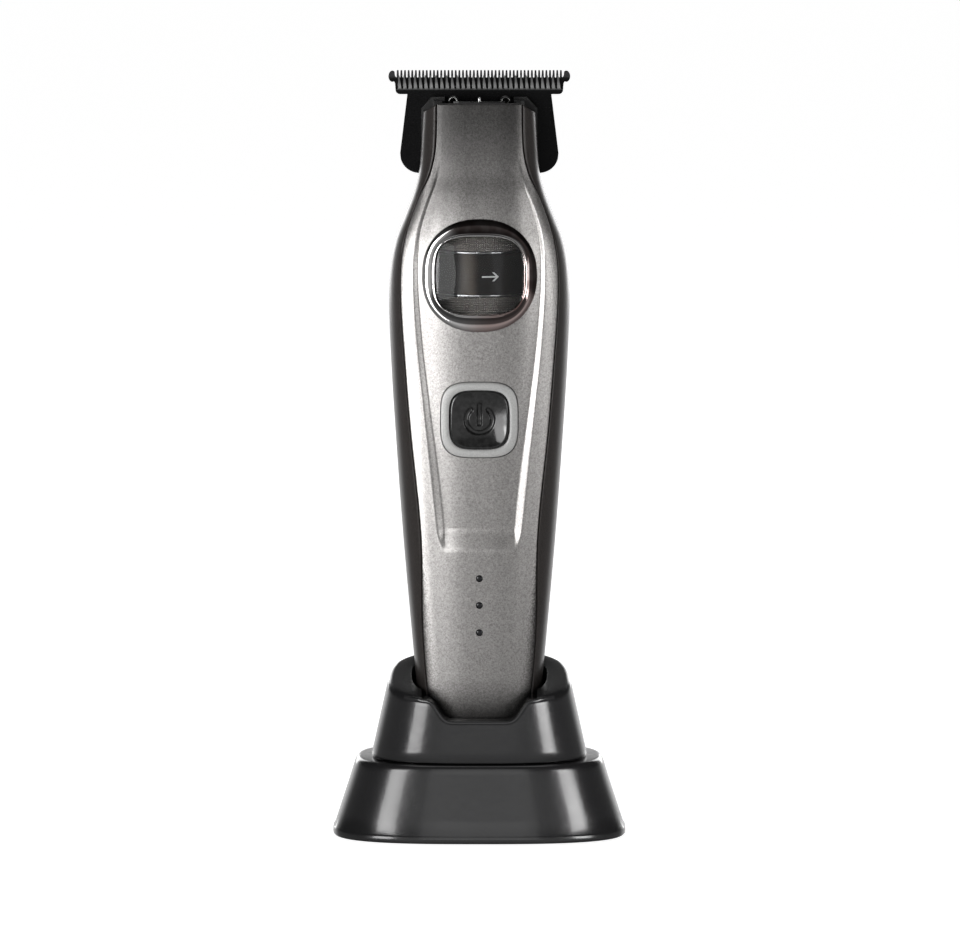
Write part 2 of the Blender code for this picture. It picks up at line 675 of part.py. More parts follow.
def build_fixed_blade(material):
    ear = [(19.2 + x, 168.15 + z * 1.45) for x, z in arc((0.0, 0.0), 0.85, 125, -115, 8)]
    right = [(18.62, 168.3)] + ear + [(18.6, 166.6), (BAR_HALF, 165.3)]
    right += arc((BAR_HALF - 1.0, BAR_BOTTOM_Z + 1.0), 1.0, 0, -90, 4) + [(15.9, BAR_BOTTOM_Z)]
    right += [(17.5, 151.2)] + arc((13.3, 151.0), 4.2, -15, -90, 5)[:-1] + [(12.6, FIXED_BOTTOM_Z)]
    left = [(-x, z) for x, z in reversed(right)]
    outline = comb(FIXED_TEETH, FIXED_PITCH, TOOTH_TIP_Z, FIXED_ROOT_Z, 0.46, 0.74)[::-1] + right + left
    blade = extruded("fixed_blade", outline, *FIXED_PLATE_Y, material)
    slope = [(-25, 8.6, 163.0), (25, 8.6, 163.0), (25, 6.2, 170.4), (-25, 6.2, 170.4)]
    rings = [slope, [(x, 12.0, z) for x, _, z in slope]]
    cut(blade, loft("fixed_bevel", rings))
    for side in (-1, 1):
        centre = (side * BLADE_SCREW_X, BLADE_SCREW_Z)
        cut(blade, turned(f"blade_hole_{side}", [(1.7, 3.0), (1.7, 12.0)], axis="Y", count=14, centre=centre))
        sink = turned(f"blade_sink_{side}", [(3.0, BLADE_SCREW_SEAT_Y), (3.0, 12.0)], axis="Y", count=18,
                      centre=centre)
        cut(blade, sink)
    return blade


def build_moving_blade(material, yoke_material):
    right = [(18.35, BAR_BOTTOM_Z + 1.0), (17.7, BAR_BOTTOM_Z + 0.2), (15.6, BAR_BOTTOM_Z + 0.2),
             (15.8, 157.4), (13.6, 157.4), (13.6, 155.9), (12.9, 155.1)]
    teeth = comb(MOVING_TEETH, MOVING_PITCH, MOVING_TIP_Z, MOVING_ROOT_Z, 0.24, 0.74, -0.22)
    outline = teeth[::-1] + mirrored(right)
    blade = extruded("moving_blade", outline, *MOVING_PLATE_Y, material)
    slope = [(-25, 3.2, 164.6), (25, 3.2, 164.6), (25, 5.2, 169.8), (-25, 5.2, 169.8)]
    rings = [[(x, 0.0, z) for x, _, z in slope], slope]
    cut(blade, loft("moving_bevel", rings))
    half, low, high = 4.6, 157.2, 160.6
    yoke = block("cutter_yoke", (-half, -3.4, low), (half, MOVING_PLATE_Y[0] - GAP, high), yoke_material)
    slot_half_x = CAM_THROW + CUTTER_STROKE + CAM_PIN_RADIUS + 0.2
    slot_half_y = CAM_THROW + CAM_PIN_RADIUS + 0.4
    cut(yoke, block("yoke_slot", (-slot_half_x, -slot_half_y, 150), (slot_half_x, slot_half_y, 170)))
    return blade


def build_tension_spring(wire, steel):
    """A double torsion spring: two small coils in front of the yoke and two legs to the cutter."""
    coil_x, coil_z, coil_r, pitch = 5.7, 163.3, 0.85, 0.8
    leg_x = coil_x + coil_r
    half = [(leg_x, 3.55, 163.6), (leg_x, -1.0, 163.3), (leg_x, -3.6, coil_z)]
    turns = 2
    for i in range(1, turns * 8 + 5):
        angle = 2 * math.pi * i / 8
        y = -3.6 - pitch * i / 8
        half.append((coil_x + coil_r * math.cos(angle), y, coil_z + coil_r * math.sin(angle)))
    end = half[-1]
    half += [(3.0, end[1], 162.6), (1.2, end[1], 162.3)]
    points = half + [(-x, y, z) for x, y, z in reversed(half)]
    curve = bpy.data.curves.new("tension_spring", "CURVE")
    curve.dimensions = "3D"
    curve.bevel_depth = 0.3 * MM
    curve.bevel_resolution = 0
    curve.use_fill_caps = True
    spline = curve.splines.new("POLY")
    spline.points.add(len(points) - 1)
    for target, point in zip(spline.points, points):
        target.co = (*(c * MM for c in point), 1.0)
    spring = bpy.data.objects.new("tension_spring", curve)
    bpy.context.scene.collection.objects.link(spring)
    curve.materials.append(wire)
    turned("spring_post", [(0.4, 161.9), (0.4, 164.0), (0.2, 164.2)], steel, count=10, centre=(0.0, -4.7))


def build_screw(name, x, along, head_y, tip_y, head_radius, shank_radius, material):
    """A pan-head screw pointing to -Y, with a cross slot in its head."""
    head = 1.3
    profile = [(shank_radius * 0.5, tip_y), (shank_radius, tip_y + 0.8), (shank_radius, head_y - head),
               (head_radius, head_y - head), (head_radius, head_y - 0.4), (head_radius * 0.6, head_y)]
    screw = turned(name, profile, material, axis="Y", count=14, centre=(x, along))
    reach = head_radius * 0.62
    for mark, (half_x, half_z) in (("a", (reach, 0.3)), ("b", (0.3, reach))):
        low = (x - half_x, head_y - 0.7, along - half_z)
        high = (x + half_x, head_y + 1.0, along + half_z)
        cut(screw, block(f"{name}_slot_{mark}", low, high))


# ---------------------------------------------------------------- sockets and contacts
def stadium(half_x, half_z, steps=4):
    """(x, z) points of a slot with round ends."""
    run = half_x - half_z
    return arc((run, 0), half_z, -90, 90, steps * 2) + arc((-run, 0), half_z, 90, 270, steps * 2)


def socket_piece(name, place, material):
    """A slim round-ended power socket with a tongue, mapped by place from (x, depth, z)."""
    def ring(half_x, half_z, depth):
        return [place(x, depth, z) for x, z in stadium(half_x, half_z)]

    rings = [ring(4.55, 1.7, 7.2), ring(4.55, 1.7, 0.0), ring(4.25, 1.4, 0.0), ring(4.25, 1.4, 5.6),
             ring(3.3, 0.36, 5.6), ring(3.3, 0.36, 0.8)]
    loft(name, rings, material)


def build_clipper_contacts(gold, steel, board):
    for side, word in ((-1, "left"), (1, "right")):
        profile = [(1.7, BODY_BOTTOM + 1.3), (1.7, BODY_BOTTOM + 2.4), (2.6, BODY_BOTTOM + 2.4),
                   (2.6, BODY_BOTTOM + 2.9)]
        turned(f"charge_plate_{word}", profile, gold, count=16, centre=(side * CONTACT_X, CONTACT_Y))
    socket_piece("charging_port", lambda x, depth, z: (x, 3.7 + z, BODY_BOTTOM + 0.1 + depth), steel)
    block("charge_board", (-8.4, -5.8, 23.4), (8.4, 7.0, 24.6), board)


def build_dock_contacts(block_plastic, gold, brass, spring_steel):
    rings = [clipper_ring(9.6, 3.0), clipper_ring(11.9, 3.0), clipper_ring(11.9, 0.2),
             clipper_ring(BLOCK_TOP, 0.2)]
    carrier = loft("contact_block", rings, block_plastic)
    for side, word in ((-1, "left"), (1, "right")):
        centre = (side * CONTACT_X, CONTACT_Y)
        cut(carrier, turned(f"block_bore_{word}", [(1.9, 5), (1.9, 20)], count=18, centre=centre))
        barrel = [(1.6, 8.2), (1.6, 14.6), (0.95, 14.6), (0.95, 14.0), (1.2, 14.0), (1.2, 9.0), (0.4, 9.0),
                  (0.4, 8.2)]
        turned(f"contact_barrel_{word}", barrel, brass, count=14, centre=centre, hollow=True)
        pin = [(1.05, 12.6), (1.05, 13.7), (0.8, 13.7), (0.8, PIN_TIP_Z - 0.3), (0.4, PIN_TIP_Z)]
        turned(f"contact_pin_{word}", pin, gold, count=14, centre=centre, origin=(*centre, PIN_TIP_Z))
        coil(f"contact_spring_{word}", centre, 0.72, SPRING_FOOT_Z, 12.1, 4, 0.16, spring_steel)


def coil(name, centre, radius, low, high, turns, wire, material):
    """A small compression spring about a vertical line."""
    curve = bpy.data.curves.new(name, "CURVE")
    curve.dimensions = "3D"
    curve.bevel_depth = wire * MM
    curve.bevel_resolution = 0
    curve.use_fill_caps = True
    steps = turns * 8
    spline = curve.splines.new("POLY")
    spline.points.add(steps)
    for i, target in enumerate(spline.points):
        angle = 2 * math.pi * i / 8
        x, y = centre[0] + radius * math.cos(angle), centre[1] + radius * math.sin(angle)
        target.co = (x * MM, y * MM, (low + (high - low) * i / steps) * MM, 1.0)
    thing = bpy.data.objects.new(name, curve)
    bpy.context.scene.collection.objects.link(thing)
    curve.materials.append(material)


# ---------------------------------------------------------------- dock
def footprint(half_x, half_y, z, count=BASE_SEGMENTS):
    """A ring of the dock's rounded outline at one height."""
    ring = []
    for i in range(count):
        angle = 2 * math.pi * i / count
        ring.append((half_x * power(math.cos(angle), 2 / DOCK_EXPONENT),
                     half_y * power(math.sin(angle), 2 / DOCK_EXPONENT), z))
    return ring


def clipper_ring(z, clearance):
    """The body's section at a height, let out by a clearance, with the dock's point count."""
    return section(z, -clearance, BASE_SEGMENTS)


def build_dock_base(material):
    profile = ((32.2, 18.2, BASE_RIM_Z), (32.5, 18.5, 0.9), (32.3, 18.35, 2.4), (27.6, 17.1, 16.8),
               (27.1, 16.9, 17.5), (26.4, 16.4, LEDGE_Z))
    outer = [footprint(*station) for station in profile]
    hole = [[(x, y, z) for x, y, _ in clipper_ring(20.0, 3.4)] for z in (LEDGE_Z, LEDGE_Z - 2.0)]
    hollow = ((25.6, 15.0, LEDGE_Z - 2.0), (30.3, 16.4, 2.4), (30.3, 16.4, BASE_RIM_Z))
    inner = [footprint(*station) for station in hollow]
    base = tube_loft("dock_base", outer + hole + inner, material)
    for side in (-1, 1):
        join(base, turned(f"base_boss_{side}", [(2.5, 2.8), (2.5, LEDGE_Z - 1.0)], count=16,
                          centre=(side * DOCK_SCREW_X, 0.0)))
        cut(base, turned(f"base_bore_{side}", [(1.15, 0.0), (1.15, 11.0)], count=12,
                         centre=(side * DOCK_SCREW_X, 0.0)))
    mouth = [(x, z + INLET_Z) for x, z in stadium(4.55 + GAP, 1.7 + GAP)]
    cut(base, extruded("inlet_cut", mouth, 12.0, 25.0))
    return base


def tilted_ring(inset, drop):
    """The cradle's outline where it meets its sloped top, pulled in and lowered."""
    ring = []
    for i in range(BASE_SEGMENTS):
        angle = 2 * math.pi * i / BASE_SEGMENTS
        a, b = power(math.cos(angle), 2 / DOCK_EXPONENT), power(math.sin(angle), 2 / DOCK_EXPONENT)
        z = CRADLE_TOP_Z
        for _ in range(6):
            share = (z - CRADLE_FOOT_Z) / (CRADLE_TOP_Z - CRADLE_FOOT_Z)
            half_x = CRADLE_FOOT_HALF[0] + (CRADLE_TOP_HALF[0] - CRADLE_FOOT_HALF[0]) * share - inset
            half_y = CRADLE_FOOT_HALF[1] + (CRADLE_TOP_HALF[1] - CRADLE_FOOT_HALF[1]) * share - inset
            z = CRADLE_TOP_Z + half_y * b * CRADLE_TOP_SLOPE - drop
        ring.append((half_x * a, half_y * b, z))
    return ring


def socket_mouth_ring(clearance, drop):
    """The socket's edge on the cradle's sloped top."""
    ring = []
    for x, y, _ in clipper_ring(CRADLE_TOP_Z, clearance):
        ring.append((x, y, CRADLE_TOP_Z + y * CRADLE_TOP_SLOPE - drop))
    return ring


def build_dock_cradle(material):
    rings = [
        footprint(*CRADLE_FOOT_HALF, CRADLE_FOOT_Z),
        tilted_ring(0.0, CRADLE_EDGE),
        tilted_ring(0.3, CRADLE_EDGE * 0.35),
        tilted_ring(CRADLE_EDGE, 0.0),
        socket_mouth_ring(SOCKET_CLEARANCE + 0.5, 0.0),
        socket_mouth_ring(SOCKET_CLEARANCE, 0.5),
        clipper_ring(26.0, SOCKET_CLEARANCE),
        clipper_ring(SOCKET_BOTTOM, SOCKET_CLEARANCE),
        clipper_ring(SOCKET_BOTTOM, SOCKET_CLEARANCE + SLEEVE_WALL),
        [(x, y, CRADLE_FOOT_Z) for x, y, _ in clipper_ring(CRADLE_FOOT_Z, SOCKET_CLEARANCE + SLEEVE_WALL)],
    ]
    cradle = tube_loft("dock_cradle", rings, material)
    outline = [(-NOTCH_FLOOR_HALF, NOTCH_FLOOR_Z), (NOTCH_FLOOR_HALF, NOTCH_FLOOR_Z),
               (NOTCH_MOUTH_HALF, NOTCH_MOUTH_Z), (NOTCH_MOUTH_HALF + 4.6, NOTCH_MOUTH_Z + 7.0),
               (-NOTCH_MOUTH_HALF - 4.6, NOTCH_MOUTH_Z + 7.0), (-NOTCH_MOUTH_HALF, NOTCH_MOUTH_Z)]
    cut(cradle, extruded("front_notch", outline, -22.0, -5.0))
    for side in (-1, 1):
        low, high = sorted((side * 17.4, side * 21.2))
        low_top, high_top = sorted((side * 17.4, side * 18.6))
        rings = [[(low, -7, 10), (high, -7, 10), (high, 7, 10), (low, 7, 10)],
                 [(low_top, -6, 31), (high_top, -6, 31), (high_top, 6, 31), (low_top, 6, 31)]]
        cut(cradle, loft(f"cradle_pocket_{side}", rings))
    return cradle


def build_dock_floor(plate_material, rubber, steel):
    rings = [footprint(29.9, 16.0, z, 36) for z in (1.0, 2.4)]
    plate = loft("dock_floor_plate", rings, plate_material)
    for side in (-1, 1):
        centre = (side * DOCK_SCREW_X, 0)
        cut(plate, turned(f"plate_bore_{side}", [(1.5, 0.0), (1.5, 5.0)], count=12, centre=centre))
    loft("dock_foot_pad", [footprint(20.5, 14.2, z, 36) for z in (0.0, 0.7)], rubber)
    for side, word in ((-1, "left"), (1, "right")):
        x = side * DOCK_SCREW_X
        screw = turned(f"dock_screw_{word}", [(2.2, 0.35), (2.2, 0.75), (0.95, 0.75), (0.95, 9.0), (0.5, 9.8)],
                       steel, count=16, centre=(x, 0.0))
        cut(screw, block(f"dock_screw_slot_{word}", (x - 1.4, -0.25, 0.0), (x + 1.4, 0.25, 0.6)))


def build_dock_electrics(board, steel):
    block("dock_pcb", (-13.0, -8.5, 5.4), (13.0, 9.0, 6.6), board)
    socket_piece("dock_inlet", lambda x, depth, z: (x, 17.5 - depth, INLET_Z + z), steel)


def build_dock():
    black = make_material("dock_black_gloss", (0.02, 0.021, 0.023), 0.28)
    rubber = make_material("black_rubber", (0.03, 0.03, 0.03), 0.85)
    steel = make_material("bright_steel", (0.6, 0.6, 0.61), 0.3, 1.0)
    board = make_material("dock_board_green", (0.03, 0.16, 0.07), 0.5)
    gold = make_material("contact_gold", (0.83, 0.62, 0.25), 0.25, 1.0)
    brass = make_material("barrel_brass", (0.72, 0.55, 0.27), 0.35, 1.0)
    build_dock_base(black)
    build_dock_cradle(black)
    build_dock_floor(make_material("dock_floor_black", (0.03, 0.03, 0.032), 0.6), rubber, steel)
    build_dock_contacts(make_material("contact_block_black", (0.025, 0.025, 0.025), 0.5), gold, brass, steel)
    build_dock_electrics(board, steel)


def build_clipper():
    silver = make_material("cover_silver", (0.42, 0.4, 0.39), 0.32, 1.0)
    graphite = make_material("housing_graphite", (0.05, 0.047, 0.047), 0.3, 0.3)
    black = make_material("insert_black", (0.012, 0.012, 0.012), 0.4)
    chrome = make_material("bezel_chrome", (0.85, 0.84, 0.84), 0.06, 1.0)
    steel = make_material("screw_steel", (0.55, 0.55, 0.56), 0.3, 1.0)
    board = make_material("board_green", (0.03, 0.15, 0.06), 0.5)
    build_front_cover(silver)
    build_rear_housing(graphite)
    build_bottom_cap(make_material("cap_black", (0.02, 0.02, 0.02), 0.4))
    build_neck_insert(black)
    build_window(chrome, make_material("lens_clear", (0.75, 0.77, 0.8), 0.03))
    build_button(make_material("ring_satin", (0.6, 0.6, 0.59), 0.45),
                 make_material("button_black", (0.02, 0.02, 0.02), 0.12))
    build_boards(board, black, make_material("led_smoke", (0.02, 0.02, 0.025), 0.2))
    build_battery(make_material("cell_sleeve", (0.05, 0.16, 0.42), 0.4),
                  make_material("cradle_grey", (0.2, 0.2, 0.2), 0.6))
    build_motor(make_material("can_steel", (0.35, 0.34, 0.34), 0.3, 1.0),
                make_material("ring_gunmetal", (0.25, 0.24, 0.23), 0.35, 1.0),
                make_material("label_black", (0.02, 0.02, 0.02), 0.25),
                make_material("stator_copper", (0.7, 0.35, 0.18), 0.4, 1.0),
                make_material("mount_grey", (0.15, 0.15, 0.16), 0.6),
                make_material("bearing_brass", (0.7, 0.55, 0.3), 0.35, 1.0))
    build_rotor(make_material("magnet_grey", (0.25, 0.25, 0.26), 0.5, 0.8), steel,
                make_material("cam_steel", (0.3, 0.3, 0.31), 0.3, 1.0))
    blade = make_material("blade_black", (0.015, 0.015, 0.016), 0.25, 0.6)
    build_fixed_blade(blade)
    build_moving_blade(blade, make_material("yoke_white", (0.75, 0.75, 0.73), 0.5))
    build_tension_spring(steel, steel)
    build_clipper_contacts(make_material("plate_gold", (0.83, 0.62, 0.25), 0.25, 1.0), steel, board)
    for side, word in ((-1, "left"), (1, "right")):
        build_screw(f"blade_screw_{word}", side * BLADE_SCREW_X, BLADE_SCREW_Z,
                    BLADE_SCREW_SEAT_Y + GAP + 1.3, -3.4, 2.65, 1.3, steel)
        build_screw(f"housing_screw_{word}", side * HOUSING_SCREW_X, HOUSING_SCREW_Z,
                    HOUSING_SCREW_SEAT_Y + GAP + 1.3, -5.5, 2.4, 1.05, steel)


clear_scene()
build_dock()
build_clipper()
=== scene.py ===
import math

import bmesh
import bpy
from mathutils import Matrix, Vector


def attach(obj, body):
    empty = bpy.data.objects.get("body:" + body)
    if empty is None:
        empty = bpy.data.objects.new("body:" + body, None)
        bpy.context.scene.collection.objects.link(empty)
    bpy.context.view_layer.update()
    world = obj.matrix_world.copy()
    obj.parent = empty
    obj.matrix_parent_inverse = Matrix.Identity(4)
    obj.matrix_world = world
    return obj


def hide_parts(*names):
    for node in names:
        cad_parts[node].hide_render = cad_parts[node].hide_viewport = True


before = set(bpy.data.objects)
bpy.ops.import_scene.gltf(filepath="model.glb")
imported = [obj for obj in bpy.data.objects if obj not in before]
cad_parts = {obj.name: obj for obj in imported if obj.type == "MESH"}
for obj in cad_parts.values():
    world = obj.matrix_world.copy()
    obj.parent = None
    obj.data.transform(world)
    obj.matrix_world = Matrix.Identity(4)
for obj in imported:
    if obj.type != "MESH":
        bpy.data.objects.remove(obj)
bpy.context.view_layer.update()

mm = 0.001


# small geometry helpers; every length below is in millimetres
def softStep(low, high, value):
    share = min(max((value - low) / (high - low), 0.0), 1.0)
    return share * share * (3 - 2 * share)


def softRamp(share, softness=0.2):  # straight slope with a small round at both ends
    share = min(max(share, 0.0), 1.0)
    if share < softness:
        return share * share / (2 * softness) / (1 - softness)
    if share > 1 - softness:
        return 1 - (1 - share) ** 2 / (2 * softness) / (1 - softness)
    return (share - softness / 2) / (1 - softness)


def signedPower(value, exponent):
    return math.copysign(abs(value) ** exponent, value)


def between(low, high, steps):
    return [low + (high - low) * step / steps for step in range(steps + 1)]


def edgeDrop(distance, radius):  # how far a rounded edge falls away this near the edge
    if distance >= radius:
        return 0.0
    return radius - math.sqrt(max(radius ** 2 - (radius - distance) ** 2, 0.0))


def curveAt(stations, column, height):  # smooth curve through one column of a station list
    heights = [station[0] for station in stations]
    values = [station[column] for station in stations]
    height = min(max(height, heights[0]), heights[-1])
    i = max(k for k in range(len(heights) - 1) if heights[k] <= height)

    def slope(k):
        before, after = max(k - 1, 0), min(k + 1, len(heights) - 1)
        return (values[after] - values[before]) / (heights[after] - heights[before])

    span = heights[i + 1] - heights[i]
    t = (height - heights[i]) / span
    return (values[i] * (2 * t**3 - 3 * t**2 + 1) + span * slope(i) * (t**3 - 2 * t**2 + t)
            + values[i + 1] * (3 * t**2 - 2 * t**3) + span * slope(i + 1) * (t**3 - t**2))


def turnsOf(count, shift=0.0):  # evenly spaced angles of a full turn
    return [2 * math.pi * (i + shift) / count for i in range(count)]


def roundPoints(count, exponent, shift=0.0):  # outline of a rounded square of half width 1
    power = 2 / exponent
    return [(signedPower(math.cos(a), power), signedPower(math.sin(a), power)) for a in turnsOf(count, shift)]


def squircle(halfX, halfZ, count, exponent):
    return [(halfX * a, halfZ * b) for a, b in roundPoints(count, exponent, 0.5)]


def scaled(outline, share):
    return [(x * share, z * share) for x, z in outline]


def arc(centre, radius, start, stop, steps):
    return [(centre[0] + radius * math.cos(math.radians(a)), centre[1] + radius * math.sin(math.radians(a)))
            for a in between(start, stop, steps)]


def bridge(rows, count, closed=True, loop=False):
    pairs = [(row, row + 1) for row in range(rows - 1)] + ([(rows - 1, 0)] if loop else [])
    steps = range(count if closed else count - 1)
    return [(a * count + i, a * count + (i + 1) % count, b * count + (i + 1) % count, b * count + i)
            for a, b in pairs for i in steps]


def meshPiece(name, points, faces, sharpAngle=35):
    mesh = bpy.data.meshes.new(name)
    mesh.from_pydata([Vector(point) * mm for point in points], [], faces)
    mesh.validate()
    work = bmesh.new()
    work.from_mesh(mesh)
    bmesh.ops.recalc_face_normals(work, faces=work.faces)
    work.to_mesh(mesh)
    work.free()
    mesh.shade_smooth()
    mesh.set_sharp_from_angle(angle=math.radians(sharpAngle))
    piece = bpy.data.objects.new(name, mesh)
    bpy.context.scene.collection.objects.link(piece)
    return piece


def loft(name, rings, capped=True, sharpAngle=35):  # capped rings, or rings that meet again like a sleeve
    count = len(rings[0])
    faces = bridge(len(rings), count, loop=not capped)
    if capped:
        last = (len(rings) - 1) * count
        faces += [tuple(reversed(range(count))), tuple(range(last, last + count))]
    return meshPiece(name, [point for ring in rings for point in ring], faces, sharpAngle)


def circle(radius, count, centre, axis):
    x, y, z = centre
    if axis == "Z":
        return [(x + radius * math.cos(a), y + radius * math.sin(a), z) for a in turnsOf(count)]
    return [(x + radius * math.sin(a), y, z + radius * math.cos(a)) for a in turnsOf(count)]


def turned(name, profile, axis="Z", centre=(0.0, 0.0), count=48, capped=True):
    places = [(centre[0], centre[1], s) if axis == "Z" else (centre[0], s, centre[1]) for _, s in profile]
    return loft(name, [circle(r, count, place, axis) for (r, _), place in zip(profile, places)], capped)


def extruded(name, outline, front, back):
    return loft(name, [[(x, y, z) for x, z in outline] for y in (front, back)])


def block(name, low, high):
    (x0, y0, z0), (x1, y1, z1) = low, high
    return loft(name, [[(x0, y0, z), (x1, y0, z), (x1, y1, z), (x0, y1, z)] for z in (z0, z1)])


def settle(piece, sharpAngle=35):  # turns the modifiers into plain mesh
    depsgraph = bpy.context.evaluated_depsgraph_get()
    made, old = bpy.data.meshes.new_from_object(piece.evaluated_get(depsgraph)), piece.data
    piece.modifiers.clear()
    piece.data = made
    bpy.data.meshes.remove(old)
    made.shade_smooth()
    made.set_sharp_from_angle(angle=math.radians(sharpAngle))
    return piece


def carve(piece, *tools, join=False):
    for tool in tools:
        step = piece.modifiers.new("carve", "BOOLEAN")
        step.operation, step.solver, step.object = "UNION" if join else "DIFFERENCE", "EXACT", tool
    settle(piece)
    for tool in tools:
        bpy.data.objects.remove(tool, do_unlink=True)
    return piece


def roundEdges(piece, width, segments=2, angle=40):
    step = piece.modifiers.new("roundEdges", "BEVEL")
    step.width, step.segments = width * mm, segments
    step.limit_method, step.angle_limit = "ANGLE", math.radians(angle)
    return piece


def fit(piece, finish, body, nodes=()):  # finish, body and the CAD nodes that a piece stands for
    piece.data.materials.clear()
    piece.data.materials.append(finish.material)
    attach(piece, body)
    if nodes:
        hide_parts(*nodes)
    return piece


# shader helpers
class Signal:  # a socket that takes part in sums
    def __init__(self, bench, socket):
        self.bench, self.socket = bench, socket

    def __add__(self, other):
        return self.bench.maths("ADD", self, other)

    def __sub__(self, other):
        return self.bench.maths("SUBTRACT", self, other)

    def __rsub__(self, other):
        return self.bench.maths("SUBTRACT", other, self)

    def __mul__(self, other):
        return self.bench.maths("MULTIPLY", self, other)

    def __truediv__(self, other):
        return self.bench.maths("DIVIDE", self, other)

    def __pow__(self, other):
        return self.bench.maths("POWER", self, other)

    __radd__ = __add__
    __rmul__ = __mul__


class NodeBench:
    def __init__(self, tree):
        self.tree = tree

    def feed(self, socket, value):
        if isinstance(value, Signal):
            self.tree.links.new(value.socket, socket)
        else:
            socket.default_value = value

    def node(self, kind, settings=None, inputs=None, output=0):
        made = self.tree.nodes.new("ShaderNode" + kind)
        for name, value in (settings or {}).items():
            setattr(made, name, value)
        for name, value in (inputs or {}).items():
            self.feed(made.inputs[name], value)
        return Signal(self, made.outputs[output])

    def maths(self, operation, first, second=0.0):
        return self.node("Math", {"operation": operation}, {0: first, 1: second})

    def size(self, value):
        return self.maths("ABSOLUTE", value)

    def within(self, value, low, high):  # 0 below low, 1 above high, smooth between
        return self.node("MapRange", {"interpolation_type": "SMOOTHSTEP"},
                         {"Value": value, "From Min": low, "From Max": high})

    def blend(self, share, first, second, way="MIX"):  # colours go through a Mix node
        colours = [(*colour, 1.0) if isinstance(colour, tuple) else colour for colour in (first, second)]
        return self.node("Mix", {"data_type": "RGBA", "blend_type": way},
                         {0: share, 6: colours[0], 7: colours[1]}, 2)


class Finish(NodeBench):  # one material, its constants and what varies over its surface
    def __init__(self, name, constants):
        self.material = bpy.data.materials.new(name)
        self.material.use_nodes = True
        super().__init__(self.material.node_tree)
        self.shader = self.tree.nodes["Principled BSDF"]
        for socket, value in constants.items():
            self.shader.inputs[socket].default_value = (*value, 1.0) if isinstance(value, tuple) else value
        coordinates = self.node("TexCoord", output="Object")
        self.place = self.node("VectorMath", {"operation": "SCALE"}, {0: coordinates, 3: 1000.0})
        self.x, self.y, self.z = [self.node("SeparateXYZ", {}, {0: self.place}, i) for i in range(3)]

    def noise(self, scale, detail=2.0, stretch=None):
        place = self.place
        if stretch:
            place = self.node("VectorMath", {"operation": "MULTIPLY"}, {0: place, 1: stretch})
        return self.node("TexNoise", {}, {"Vector": place, "Scale": scale, "Detail": detail})

    def drive(self, socket, value):
        self.feed(self.shader.inputs[socket], value)
        return self

    def bump(self, height, depth):
        return self.drive("Normal", self.node("Bump", {}, {"Height": height, "Distance": depth * mm}))


smearScale = 0.12  # broad patches of uneven gloss, shared by the moulded and polished finishes


def mouldedFinish(name, settings):  # grain, uneven gloss and a faint bump from one settings dictionary
    finish = Finish(name, {"Metallic": settings.get("metal", 0.0), **settings.get("constants", {})})
    grain = finish.noise(settings["grain"], 3.0, settings.get("stretch"))
    smear = finish.noise(smearScale, 4.0)
    tone = finish.blend(finish.within(grain, 0.3, 0.7), settings["dark"], settings["light"])
    finish.drive("Base Color", tone)
    uneven = (smear - 0.5) * settings["roughSpread"] + (grain - 0.5) * 0.04
    finish.drive("Roughness", settings["rough"] + uneven)
    return finish.bump(grain, settings["depth"])


print("helpers ready")

# the clipper's outer form
clipperForm = {
    "widestY": 1.0, "shellBottom": 22.0, "neckTop": 163.0, "chamferStart": 9.2, "chamferSlope": 0.69,
    "seamHalfGap": 0.12, "backExponent": 2.5, "shoulder": 146.3,
    "stations": (  # height, half width, front depth, back depth, side band, front exponent
        (15.0, 12.2, 9.3, 11.2, 2.3, 2.8), (24.0, 13.0, 10.2, 11.9, 2.3, 2.8),
        (45.0, 14.95, 12.0, 13.5, 2.4, 2.8), (68.0, 16.95, 13.4, 14.9, 3.95, 2.8),
        (92.0, 18.65, 14.3, 15.6, 3.3, 2.8), (106.0, 19.48, 14.6, 15.8, 3.0, 2.8),
        (119.5, 19.92, 14.95, 15.5, 2.55, 2.8), (127.5, 19.5, 14.85, 14.8, 2.2, 2.8),
        (133.0, 18.4, 14.4, 13.8, 1.9, 2.9), (138.0, 16.45, 13.6, 12.4, 1.4, 3.1),
        (143.0, 14.5, 12.3, 10.6, 1.35, 3.5), (147.5, 13.3, 10.9, 9.2, 2.3, 4.0),
        (153.0, 12.8, 10.0, 8.4, 3.05, 4.4), (164.0, 12.1, 9.1, 7.6, 2.65, 4.6)),
}
dishForm = {
    "depth": 1.1, "bottom": 64.4, "floorBottom": 70.0, "fadeStart": 134.0, "fadeEnd": 152.0,
    "stations": (  # height, half width of the rim, half width of the floor
        (22.0, 6.0, 4.6), (64.4, 9.0, 7.2), (78.5, 10.6, 8.3), (98.6, 12.7, 10.9), (112.0, 14.1, 12.4),
        (125.5, 14.7, 13.3), (134.0, 14.0, 12.9), (140.0, 12.3, 11.4), (146.7, 9.9, 9.1),
        (153.0, 8.9, 8.2), (164.0, 8.6, 7.9)),
}


def bodyAt(column, z):
    return curveAt(clipperForm["stations"], column, z)


def seamX(z):
    return bodyAt(1, z) - bodyAt(4, z)


def skinY(z, x):
    exponent, widest = bodyAt(5, z), clipperForm["widestY"]
    share = min(abs(x) / bodyAt(1, z), 0.9995) ** exponent
    return widest - (bodyAt(2, z) + widest) * (1 - share) ** (1 / exponent)


